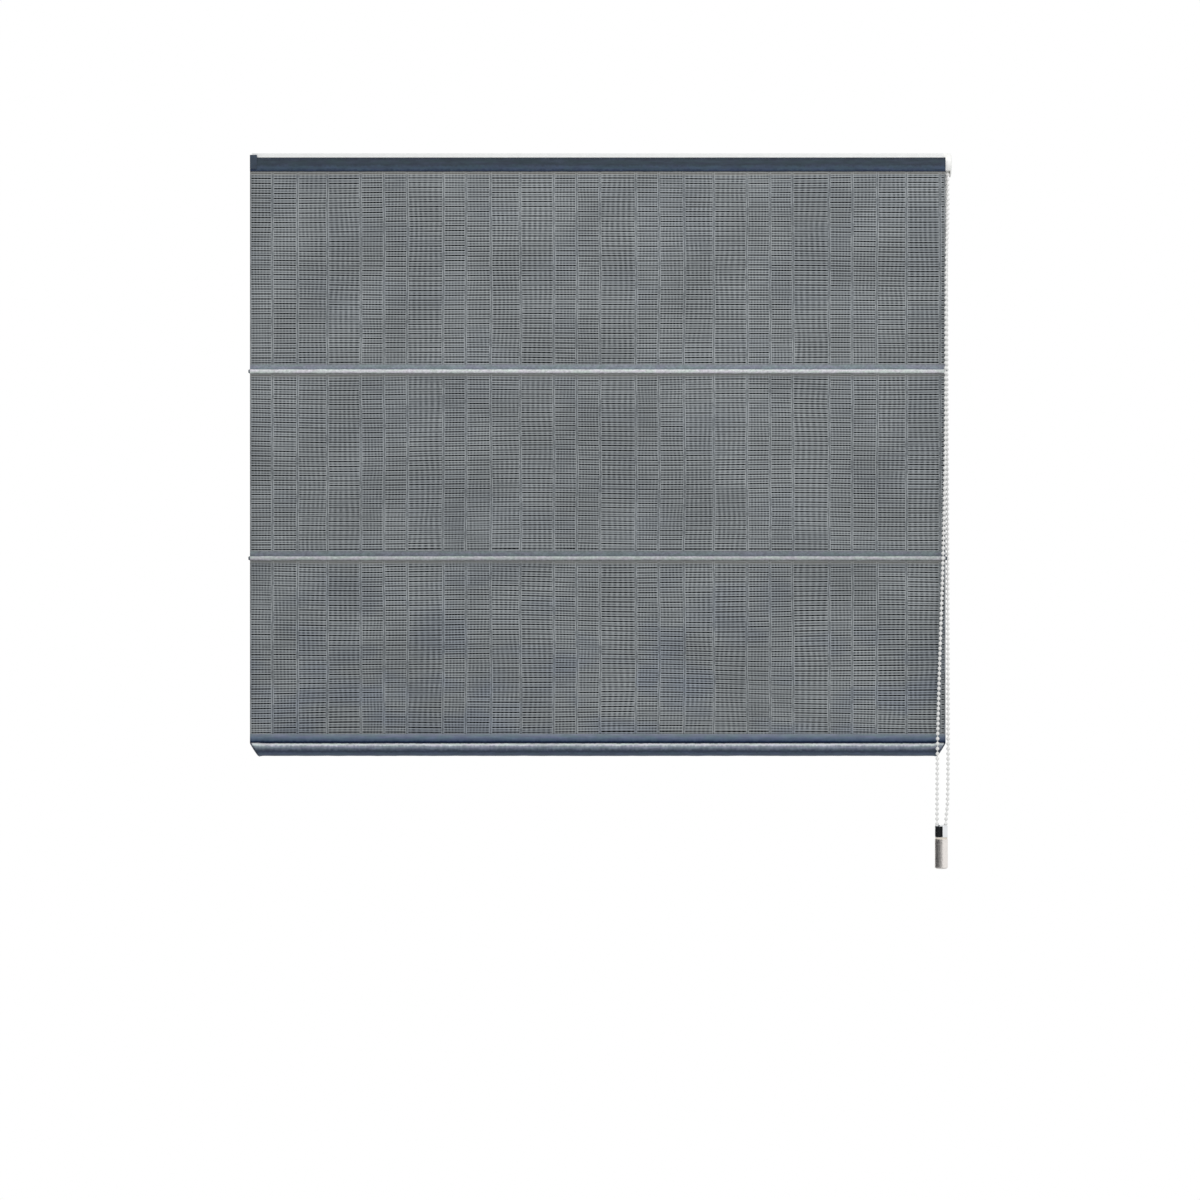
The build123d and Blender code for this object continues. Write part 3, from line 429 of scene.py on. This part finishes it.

    # Slow changes of tone, darker side edges, painted light on the first row below each strip, and a
    # blue cast low on the blind
    tone = grain(70, 11, 1.7, 0.35, 0.65, 0.90, 1.08)
    side = add(tree, "Math", {0: chart.outputs["X"], 1: 0.5}, operation="SUBTRACT")
    side = add(tree, "Math", {0: side}, operation="ABSOLUTE")
    side = add(tree, "MapRange", {0: side, 1: 0.482, 2: 0.5, 3: 1.0, 4: 0.80})
    tone = add(tree, "Math", {0: tone, 1: side}, operation="MULTIPLY")
    yarn = mixed(tree, 1.0, yarn, tone, "MULTIPLY")
    # Painted light on the first row under the head band and under each casing, stronger under the
    # casings, against the shade they cast
    lower_panel = add(tree, "Math", {0: row, 1: PANEL_ROWS / 2}, operation="GREATER_THAN")
    first_row_painted_light = mixed(tree, lower_panel, linear("#888680"), linear("#9e9e9a"))
    first = add(tree, "Math", {0: row, 1: PANEL_ROWS}, operation="MODULO")
    first = add(tree, "MapRange", {0: first, 1: 1.0, 2: 0.6, 3: 0.0, 4: 0.55})
    yarn = mixed(tree, first, yarn, first_row_painted_light)
    last_panel = 2 * PANEL_ROWS
    low_down = add(tree, "MapRange", {0: row, 1: last_panel, 2: last_panel + 25, 3: 0.25, 4: 1.0})
    patches = grain(60, 7, 12.4, 0.45, 0.66, 0.0, 0.6)
    blue = add(tree, "Math", {0: low_down, 1: patches}, operation="MULTIPLY")
    yarn = mixed(tree, blue, yarn, linear("#dfe5f5"), "MULTIPLY")
    relief = add(tree, "Math", {0: ticks, 1: slit}, operation="SUBTRACT")
    bump = add(tree, "Bump", {"Strength": 0.5, "Distance": 0.3 * MM, "Height": relief})
    shader = add(tree, "BsdfPrincipled", {
        "Base Color": yarn, "Roughness": 0.85, "Sheen Weight": 0.08, "Sheen Roughness": 0.5,
        "Specular IOR Level": 0.15, "Normal": bump,
    })
    add(tree, "OutputMaterial", {"Surface": shader})
    return finish


def plain_cloth(name, stops, roughness=0.65, streak=0.12, ragged=0.05, specular=0.25, along=14):
    """Closely woven plain cloth: slightly shiny, with streaks, and a cast that drifts from teal to
    violet. stops are the colours from the piece's lower edge to its upper one, with painted highlight
    and shade in them for the sleeves, tongue and roll; streak is how strong the streaks are, and along
    how many millimetres long."""
    finish, tree = start(name)
    chart = add(tree, "SeparateXYZ", {0: add(tree, "UVMap", uv_map=BAKE_MAP)})
    place = add(tree, "TexCoord").outputs["Object"]
    fray = stretched(tree, place, (3.5, 30, 6))
    fray = add(tree, "MapRange", {0: fray, 1: 0.3, 2: 0.7, 3: -ragged, 4: ragged})
    height = add(tree, "Math", {0: chart.outputs["Y"], 1: fray}, operation="ADD")
    shade = add(tree, "ValToRGB", {"Fac": height})
    elements = shade.color_ramp.elements
    while len(elements) < len(stops):
        elements.new(1.0)
    for element, (at, tone) in zip(elements, stops):
        element.position = at
        element.color = linear(tone)
    streaks = stretched(tree, place, (along, 3, 2.2), detail=2.0)
    streaks = add(tree, "MapRange", {0: streaks, 1: 0.3, 2: 0.7, 3: 1 - streak, 4: 1 + streak})
    colour = mixed(tree, 1.0, shade, streaks, "MULTIPLY")
    cast = stretched(tree, place, (20, 3, 5))
    cast = add(tree, "MapRange", {0: cast, 1: 0.38, 2: 0.62})
    cast = mixed(tree, cast, linear("#ebf4ef"), linear("#f2eef6"))
    colour = mixed(tree, 1.0, colour, cast, "MULTIPLY")
    threads = stretched(tree, place, (0.9, 0.9, 0.7))
    bump = add(tree, "Bump", {"Strength": 0.5, "Distance": 0.12 * MM, "Height": threads})
    shader = add(tree, "BsdfPrincipled", {
        "Base Color": colour, "Roughness": roughness, "Sheen Weight": 0.1, "Sheen Roughness": 0.4,
        "Specular IOR Level": specular, "Normal": bump,
    })
    add(tree, "OutputMaterial", {"Surface": shader})
    return finish


def moulded(name, tone, roughness, grain=0.6, variation=0.06, edge=0.25):
    """A moulded or coated surface: even colour with a slight mottle, fine grain and worn-in edges."""
    finish, tree = start(name)
    place = add(tree, "TexCoord").outputs["Object"]
    mottle = add(tree, "TexNoise", {"Vector": place, "Scale": per(7), "Detail": 3.0})
    mottle = add(tree, "MapRange", {0: mottle, 1: 0.3, 2: 0.7, 3: 1 - variation, 4: 1 + variation})
    colour = mixed(tree, 1.0, linear(tone), mottle, "MULTIPLY")
    fine = add(tree, "TexNoise", {"Vector": place, "Scale": per(grain), "Detail": 2.0})
    gloss = add(tree, "MapRange", {0: fine, 1: 0.3, 2: 0.7, 3: roughness * 0.85, 4: roughness * 1.15})
    soft_edge = add(tree, "Bevel", {"Radius": edge * MM}, samples=4)
    relief = {"Strength": 0.25, "Distance": 0.05 * MM, "Height": fine, "Normal": soft_edge}
    shader = add(tree, "BsdfPrincipled", {
        "Base Color": colour, "Roughness": gloss, "Normal": add(tree, "Bump", relief),
    })
    add(tree, "OutputMaterial", {"Surface": shader})
    return finish


def drawn_metal(name, tone, roughness, along, anisotropy=0.0, collar=None):
    """Drawn, turned or polished metal: fine marks that run one way. along is the marks' scale on
    each axis, in millimetres. Above the height collar, if it's given, the metal is enamelled cream."""
    finish, tree = start(name)
    place = add(tree, "TexCoord").outputs["Object"]
    marks = stretched(tree, place, along, detail=2.0)
    gloss = add(tree, "MapRange", {0: marks, 1: 0.3, 2: 0.7, 3: roughness * 0.7, 4: roughness * 1.3})
    shade = add(tree, "MapRange", {0: marks, 1: 0.3, 2: 0.7, 3: 0.93, 4: 1.05})
    colour = mixed(tree, 1.0, linear(tone), shade, "MULTIPLY")
    bare = 1.0
    if collar:
        height = add(tree, "SeparateXYZ", {0: place}).outputs["Z"]
        bare = add(tree, "Math", {0: height, 1: collar}, operation="LESS_THAN")
        colour = mixed(tree, bare, linear("#e9e0d2"), colour)
    soft_edge = add(tree, "Bevel", {"Radius": 0.25 * MM}, samples=4)
    shader = add(tree, "BsdfPrincipled", {
        "Base Color": colour, "Metallic": bare, "Roughness": gloss,
        "Anisotropic": anisotropy, "Normal": soft_edge,
    })
    add(tree, "OutputMaterial", {"Surface": shader})
    return finish


# Face cloth
weave = woven_slate()
# Plain slate cloth of the head band: a light blue streak near its lower edge, which is nearly navy
band_cloth = plain_cloth("band_cloth", [
    (0.0, "#26334a"), (0.10, "#2d3b50"), (0.2, "#3b4a5d"), (0.33, "#3e4c5b"), (0.48, "#353f4b"),
    (0.75, "#38434d"), (0.92, "#323a46"), (1.0, "#2a303b"),
], ragged=0.06, streak=0.17)
# Plain cloth behind the sewn strips, seen only from behind
lining = plain_cloth("lining", [(0.0, "#686f76"), (1.0, "#71777d")], roughness=0.8, streak=0.1)
# Upper sleeve: bluish-grey strip over a cream piped casing; a painted highlight brightens the casing's
# upper front, its underside is painted paler against its own shade, and painted shade darkens the
# crease between strip and casing and the strip just above it
upper_sleeve_cloth = plain_cloth("upper_sleeve_cloth", [
    (0.0, "#b4b5b5"), (0.3, "#d3d4d3"), (0.57, "#e6e6e4"), (0.64, "#9ea3a7"), (0.67, "#5a6673"),
    (0.78, "#89919a"), (1.0, "#93989d"),
], streak=0.2, ragged=0.02, roughness=0.7, along=3.2)
# Lower sleeve: the same, greyer, with the same painted highlight on the casing and painted shade in
# the crease
lower_sleeve_cloth = plain_cloth("lower_sleeve_cloth", [
    (0.0, "#9c9d9d"), (0.3, "#b7b8b8"), (0.57, "#c7c8c7"), (0.64, "#93989c"), (0.67, "#57616b"),
    (0.78, "#787f86"), (1.0, "#84898d"),
], streak=0.2, ragged=0.02, roughness=0.7, along=3.2)
# Tongue of the bottom sleeve: pale slate at its top, with painted shade darkening it downwards and a
# painted near-black shadow in the seam above the roll
tongue_cloth = plain_cloth("tongue_cloth", [
    (0.0, "#0a1a32"), (0.21, "#0e2646"), (0.3, "#43536a"), (0.62, "#6a778a"), (1.0, "#8a929b"),
], ragged=0.03)
# Bottom roll: satin slate cloth, with a painted highlight along its top, painted shade in the seam
# above that highlight and in a dark band below it, and painted bounce light low on its front
roll_cloth = plain_cloth("roll_cloth", [
    (0.0, "#37414e"), (0.53, "#2c3747"), (0.60, "#435267"), (0.66, "#435165"), (0.715, "#233045"),
    (0.75, "#3f4959"), (0.80, "#6b7381"), (0.85, "#8a9099"), (0.875, "#bfc4ca"), (0.90, "#e2e3e3"),
    (0.945, "#e0dfdc"), (0.967, "#8b919a"), (1.0, "#1b2638"),
], roughness=0.45, streak=0.2, ragged=0.015, specular=0.4)
thread_grey = moulded("thread_grey", "#7d848d", 0.7, grain=0.2)

# Powder-coated aluminium: even white with a faint orange peel
powder_white = moulded("powder_white", "#efefed", 0.42, grain=0.5, variation=0.015, edge=0.3)
# Acetal mouldings: slightly warm white, low gloss
acetal_white = moulded("acetal_white", "#f5f4f0", 0.38, variation=0.02)
# Acetal beads: a little glossier
bead_white = moulded("bead_white", "#ecebe8", 0.28, variation=0.01)
# Slate mouldings at the ends of the rail, bar and battens
slate_moulding = moulded("slate_moulding", "#303d4d", 0.46, variation=0.22, edge=0.4)
# Zinc-plated pressed steel
zinc = drawn_metal("zinc", "#b9bcbd", 0.32, (2.0, 9.0, 9.0))
# Hard-drawn spring wire
spring_wire = drawn_metal("spring_wire", "#9d9c99", 0.25, (0.4, 6.0, 6.0))
# Bright drawn steel shaft
bright_steel = drawn_metal("bright_steel", "#c2c3c3", 0.22, (20.0, 0.5, 0.5))
# Mill-finish aluminium tube
mill_aluminium = drawn_metal("mill_aluminium", "#c9cbcc", 0.38, (25.0, 0.6, 0.6))
# Polished chrome plate over a brass cap: a mirror
chrome = drawn_metal("chrome", "#e6e8ea", 0.045, (9.0, 9.0, 9.0))
# Satin nickel body, turned: rings of fine marks spread the reflection sideways, under a cream collar
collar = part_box("weight_body")[1].z - COLLAR_HEIGHT
satin_nickel = drawn_metal(
    "satin_nickel", "#e8e3df", 0.42, (12.0, 12.0, 0.25), anisotropy=0.2, collar=collar,
)
# Glass fibre rod, pale green-white
glass_fibre = moulded("glass_fibre", "#d5dccb", 0.5)
# Nylon hook and loop tape: a short fuzz
nylon_tape = moulded("nylon_tape", "#dededa", 0.9, grain=0.35, variation=0.1)
# Twisted polyester cord
cord_white = moulded("cord_white", "#e8e6df", 0.75, grain=0.25, variation=0.05)

dress(powder_white, "head_rail")
dress(acetal_white, "drive_housing", "drive_cover", "clutch_hub", "chain_sprocket", "cord_anchors")
dress(acetal_white, "bracket_cam_left", "bracket_cam_right")
for side in ("left", "centre", "right"):
    dress(acetal_white, f"cord_drum_{side}", f"drum_cradle_{side}")
for level in ("upper", "lower"):
    dress(acetal_white, f"cord_rings_{level}")
    dress(slate_moulding, f"batten_tips_{level}")
    dress(glass_fibre, f"batten_rod_{level}")
dress(slate_moulding, "end_cap_left", "bottom_cap_left", "bottom_cap_right")
dress(zinc, "rail_bracket_left", "rail_bracket_right", "cam_rivets")
dress(spring_wire, "clutch_spring")
dress(bright_steel, "drive_shaft")
dress(mill_aluminium, "bottom_bar")
dress(chrome, "weight_cap")
dress(satin_nickel, "weight_body")
dress(nylon_tape, "hook_tape", "loop_tape")


# Chain and lift cords


def route_curve(name, points, bevel=0.0):
    """The points of the route's own smooth line, or its tube where a bevel is given, as a mesh."""
    curve = bpy.data.curves.new(name, "CURVE")
    curve.dimensions = "3D"
    curve.resolution_u = 24
    curve.bevel_depth = bevel
    curve.bevel_resolution = 1
    curve.use_fill_caps = bevel > 0
    spline = curve.splines.new("NURBS")
    spline.points.add(len(points) - 1)
    for point, place in zip(spline.points, points):
        point.co = (*place, 1)
    spline.order_u = 3
    spline.use_endpoint_u = True
    holder = bpy.data.objects.new(name, curve)
    bpy.context.scene.collection.objects.link(holder)
    graph = bpy.context.evaluated_depsgraph_get()
    mesh = bpy.data.meshes.new_from_object(holder.evaluated_get(graph))
    bpy.data.objects.remove(holder)
    bpy.data.curves.remove(curve)
    return mesh


def stations(line, pitch):
    """Places at equal steps near the pitch along a line, each with the line's direction there, and
    the line's length."""
    runs = [(b - a).length for a, b in zip(line, line[1:])]
    length = sum(runs)
    count = round(length / pitch)
    places, walked, at = [], 0.0, 0
    for number in range(count):
        target = (number + 0.5) * length / count
        while walked + runs[at] < target:
            walked += runs[at]
            at += 1
        heading = line[at + 1] - line[at]
        places.append((line[at] + heading * ((target - walked) / runs[at]), heading.normalized()))
    return places, length


def bead_chain():
    """One endless chain: small beads moulded on a thin cord."""
    points = [Vector(point) * MM for point in CHAIN_ROUTE]
    line_mesh = route_curve("chain_line", points)
    line = [vert.co.copy() for vert in line_mesh.vertices]
    bpy.data.meshes.remove(line_mesh)
    tube = route_curve("chain_string", points, STRING_RADIUS)
    bm = bmesh.new()
    bm.from_mesh(tube)
    bpy.data.meshes.remove(tube)
    places, length = stations(line, BEAD_PITCH)
    bead = bmesh.new()
    bmesh.ops.create_uvsphere(bead, u_segments=10, v_segments=6, radius=BEAD_RADIUS)
    repeat(bm, bead, [
        Matrix.Translation(place) @ heading.to_track_quat("Z", "X").to_matrix().to_4x4()
        for place, heading in places
    ])
    chain = piece(bm, "chain", bead_white)
    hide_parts("bead_chain")
    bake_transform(chain)


def lift_cord(side):
    """A thin laid cord of three strands, from the drum down to its anchor on the bottom sleeve."""
    low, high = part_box(f"lift_cord_{side}")
    top = Vector(((low.x + high.x) / 2, (low.y + high.y) / 2, high.z))
    length = high.z - low.z
    turns = length / CORD_LAY
    rows = round(turns * STEPS_PER_LAY)
    around = 4 * CORD_STRANDS

    def place(column, row):
        angle = 2 * math.pi * column / around
        reach = CORD_RADIUS * (0.8 + 0.2 * abs(math.cos(angle * CORD_STRANDS / 2)))
        turned = angle + turns * 2 * math.pi * row / rows
        out = Vector((reach * math.cos(turned), reach * math.sin(turned), -length * row / rows))
        return (top + out,)

    bm = grid_piece(around, rows, place)
    bmesh.ops.remove_doubles(bm, verts=bm.verts, dist=0.01 * MM)
    bmesh.ops.holes_fill(bm, edges=bm.edges, sides=around)
    cord = piece(bm, f"laid_cord_{side}", cord_white, "head")
    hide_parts(f"lift_cord_{side}")
    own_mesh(cord)


bead_chain()
for side in ("left", "centre", "right"):
    lift_cord(side)


# Cloth


def thicken(cloth, thickness):
    """Gives the cloth its thickness, behind the face that was drawn."""
    shell = cloth.modifiers.new("thickness", "SOLIDIFY")
    shell.thickness = thickness
    shell.offset = -1


def grid_lines():
    """Each upright grid line: its distance from the left edge, its column and its height: 1 on the
    crest of a warp rib, and below 0 in the groove between a column's last rib and the next's first."""
    edges = [0.0]
    while edges[-1] < width:
        edges.append(edges[-1] + WARP_STEPS[(len(edges) - 1) % len(WARP_STEPS)] * MM)
    edges[-1] = width
    lines = []
    for number, (a, b) in enumerate(zip(edges, edges[1:])):
        first, last = a + RIB_FOOT, b - RIB_FOOT
        lines += [(a, number, RIB_GROOVE), (a + RIB_CREST, number, 1.0), (first, number, 0.0)]
        for step in range(1, LINES_IN_COLUMN + 1):
            lines.append((first + (last - first) * step / (LINES_IN_COLUMN + 1), number, 0.0))
        lines += [(last, number, 0.0), (b - RIB_CREST, number, 1.0)]
    lines.append((width, number, RIB_GROOVE))
    return lines


def slit_strength(panel, number, whole, across):
    """How open a slit is: patches of the cloth are closed up, and single slits differ."""
    patch = rough(across * per(62), whole / 9 + 0.3, panel * 3.7)
    single = dice(number, whole, panel)
    run = rough(across * per(13), whole * 1.7 + 0.4, panel + 0.2)
    return clamp(0.92 + 0.35 * patch + 0.2 * single + 0.3 * run)


def row_shift(panel, number, along, across):
    """How far a row strays up or down, in millimetres: slowly over the cloth, and by columns."""
    slow = (2.0 + panel) * rough(across * per(230), along / 16, panel * 5.1 + 2)
    return slow + 0.9 * rough(number * 3.17 + 0.5, along / 6.5, panel + 0.3)


def weave_half(panel, top, bottom, upper):
    """Half of a woven panel, from its carrier to the line where it folds."""
    rows = 2 * round((top - bottom) / WEFT_PITCH / 2)
    pitch = (top - bottom) / rows
    half = rows // 2
    first_row = 0 if upper else half
    lines = grid_lines()

    def place(column, row):
        across, number, rib = lines[column]
        whole, step = divmod(row, len(ROW_LINES))
        along = first_row + whole + ROW_LINES[step]
        fade = clamp(min(along, rows - along) / 1.2)
        inset = clamp(min(across, width - across) / EDGE_INSET)
        strength = 0.0 if rib else slit_strength(panel, number, first_row + whole, across)
        shift = row_shift(panel, number, along, across)
        if rib < 0:
            shift = (shift + row_shift(panel, number - 1, along, across)) / 2
        wave = 0.55 * rough(across * per(170), along / 20, panel + 8.2)
        sway = 1.3 * rough(across * per(75), along / 15, 7.7)
        sway += 0.7 * rough(across * per(20), along / 4, 3.1)
        height = WEFT_HEIGHT * (1 - strength * ROW_DEPTHS[step]) + RIB_HEIGHT * rib - wave * MM
        x = left + across + sway * inset * MM
        z = top - along * pitch + shift * fade * MM
        return Vector((x, cloth_front - fade * height, z)), along + PANEL_ROWS * panel, strength, rib

    return grid_piece(len(lines) - 1, half * len(ROW_LINES), place, ("row", "gap", "rib"))


def woven_panel(name, panel, carriers, top, bottom, joint, rests_on):
    """A woven panel between two carriers, in two halves, each riding on one of the carriers."""
    for upper, part, body in ((True, "upper", carriers[0]), (False, "lower", carriers[1])):
        bm = weave_half(panel, top, bottom, upper)
        half = piece(bm, f"{name}_{part}", weave, body)
        thicken(half, CLOTH_THICKNESS)
        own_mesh(half)
        if panel == 0 and upper:
            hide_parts("face_fabric", "warp_ribs")


sleeves = {level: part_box(f"batten_sleeve_{level}") for level in ("upper", "lower")}
panel_ends = [
    (band_low.z + TUCK, sleeves["upper"][1].z - TUCK),
    (sleeves["upper"][0].z + TUCK, sleeves["lower"][1].z - TUCK),
    (sleeves["lower"][0].z + TUCK, tongue_high.z - TUCK),
]
panel_carriers = [
    ("head", "upper_batten"),
    ("upper_batten", "lower_batten"),
    ("lower_batten", "bottom"),
]
panel_rests = [["head_rail"], ["batten_rod_upper"], ["batten_rod_lower"]]
for panel, (ends, carriers, rests) in enumerate(zip(panel_ends, panel_carriers, panel_rests)):
    woven_panel(f"woven_panel_{panel + 1}", panel, carriers, *ends, "blind_lift", rests)


def backing(name, body, top, bottom):
    """The face cloth where a strip covers it, flat between two folding halves."""
    columns, rows = 60, 4

    def place(column, row):
        x = left + width * column / columns
        return (Vector((x, cloth_front, top + (bottom - top) * row / rows)),)

    bm = grid_piece(columns, rows, place)
    cloth = piece(bm, name, lining, body)
    thicken(cloth, cloth_back - cloth_front)


backing("cloth_at_head", "head", band_high.z, band_low.z + TUCK)
for level in ("upper", "lower"):
    low, high = sleeves[level]
    carrier = f"{level}_batten"
    backing(f"cloth_at_{carrier}", carrier, high.z - TUCK, low.z + TUCK)
hem = roll_z + roll_radius - SEAM_DEPTH
backing("cloth_at_hem", "bottom", tongue_high.z - TUCK, hem)


def stitches(name, body, y, z, finish):
    """A row of straight machine stitches along the blind."""
    stitch = bmesh.new()
    size = (STITCH_LENGTH / 2, STITCH_RADIUS, STITCH_RADIUS)
    bmesh.ops.create_uvsphere(stitch, u_segments=6, v_segments=4, radius=1.0)
    bmesh.ops.rotate(stitch, verts=stitch.verts, matrix=Matrix.Rotation(math.pi / 2, 3, "Y"))
    bmesh.ops.scale(stitch, verts=stitch.verts, vec=size)
    run = width - 2 * STITCH_MARGIN
    count = round(run / STITCH_PITCH)
    places = []
    for number in range(count):
        x = left + STITCH_MARGIN + (number + 0.5) * run / count
        stray = 0.1 * MM * rough(number * 0.37, z * 100)
        places.append(Matrix.Translation((x, y, z + stray)))
    bm = bmesh.new()
    repeat(bm, stitch, places)
    return piece(bm, name, finish, body)


def head_band():
    """The plain strip over the face cloth's top, with a soft turned lower edge."""
    columns, rows = 240, 12

    def place(column, row):
        x = left + width * column / columns
        share = row / rows
        edge = clamp((share - 0.82) / 0.18)
        drop = 0.35 * rough(x * per(7), 1.3) * edge
        swell = 0.12 * rough(x * per(45), share * 2) + 0.18 * math.sin(math.pi * share)
        swell += 0.6 * edge * (1 - edge)
        z = band_high.z + (band_low.z - band_high.z) * share - drop * MM
        return (Vector((x, band_low.y + (0.15 - swell) * MM, z)),)

    bm = grid_piece(columns, rows, place)
    band = piece(bm, "plain_head_band", band_cloth, "head")
    thicken(band, BAND_CLOTH)
    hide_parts("head_band")


def sleeve(level, finish):
    """A batten's sewn sleeve: a flat strip, then the piping over the batten, puckered by its seam."""
    low, high = sleeves[level]
    centre_y = low.y + CASING_RADIUS
    centre_z = low.z + CASING_RADIUS
    front = high.y - STRIP_CLOTH
    join = math.acos((front - centre_y) / CASING_RADIUS)
    foot = centre_z + CASING_RADIUS * math.sin(join)
    columns, strip_rows, casing_rows = 560, 8, 20
    end = 2 * math.pi - 0.35

    def place(column, row):
        x = left + width * column / columns
        lump = 0.16 * rough(x * per(SLEEVE_LUMP / 2), 2.2 + centre_z * 40)
        lump += 0.07 * rough(x * per(17), 5.0)
        if row < strip_rows:
            share = row / strip_rows
            pucker = lump * share**2 * 0.9 * MM
            return (Vector((x, front - pucker, high.z + (foot - high.z) * share)),)
        share = (row - strip_rows) / casing_rows
        angle = join + (end - join) * share
        reach = CASING_RADIUS * (1 + 0.8 * lump * clamp(3 * math.sin(math.pi * share)))
        return (Vector((x, centre_y + reach * math.cos(angle), centre_z + reach * math.sin(angle))),)

    carrier = f"{level}_batten"
    bm = grid_piece(columns, strip_rows + casing_rows, place)
    made = piece(bm, f"piped_sleeve_{level}", finish, carrier)
    thicken(made, SLEEVE_CLOTH)
    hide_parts(f"batten_sleeve_{level}")
    seam_z = high.z - STITCH_INSET
    row = stitches(f"sleeve_stitches_{level}", carrier, front - 0.05 * MM, seam_z, thread_grey)


def bottom_tongue():
    """The bottom sleeve's tongue over the hem, tucked in above the roll."""
    columns, rows = 240, 12
    top, bottom = tongue_high.z, roll_z + roll_radius - SEAM_DEPTH
    front = cloth_front - 1.1 * MM

    def place(column, row):
        x = left + width * column / columns
        share = row / rows
        tuck = clamp((share - 0.78) / 0.22)
        swell = 0.2 * rough(x * per(38), share * 2) + 0.25 * math.sin(math.pi * clamp(share / 0.8))
        y = front + (0.9 * tuck**2 - swell * (1 - tuck)) * MM
        return (Vector((x, y, top + (bottom - top) * share)),)

    bm = grid_piece(columns, rows, place)
    tongue = piece(bm, "bottom_tongue", tongue_cloth, "bottom")
    thicken(tongue, TONGUE_CLOTH)
    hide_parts("bottom_sleeve")
    row = stitches("tongue_stitches", "bottom", front - 0.25 * MM, top - STITCH_INSET, thread_grey)


def bottom_roll():
    """The bottom sleeve's roll round the bar, with slack creases that run askew. Its ends are cut
    aslant, and lap over the bar's end caps."""
    columns, rows = 420, 36
    begin, end = math.radians(97), math.radians(442)

    def place(column, row):
        angle = begin + (end - begin) * row / rows
        up = (1 + math.sin(angle)) / 2
        slant = bar_end + (tongue_high.x - bar_end) * up - CAP_SHOWS
        x = max(slant, bar_end) * (2 * column / columns - 1)
        lap = OVER_CAP * clamp((abs(x) - bar_end) / (4 * MM) + 1)
        crease = 0.22 * rough(x * per(13) + angle * 1.6, angle * 2.4, 1.1)
        crease += 0.12 * rough(x * per(41) - angle, angle)
        reach = roll_radius + lap + crease * MM * clamp(4 * math.sin(math.pi * row / rows))
        return (Vector((x, roll_y + reach * math.cos(angle), roll_z + reach * math.sin(angle))),)

    bm = grid_piece(columns, rows, place)
    roll = piece(bm, "bottom_roll", roll_cloth, "bottom")
    thicken(roll, ROLL_CLOTH)
    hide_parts("bottom_sleeve")


head_band()
sleeve("upper", upper_sleeve_cloth)
sleeve("lower", lower_sleeve_cloth)
bottom_tongue()
bottom_roll()
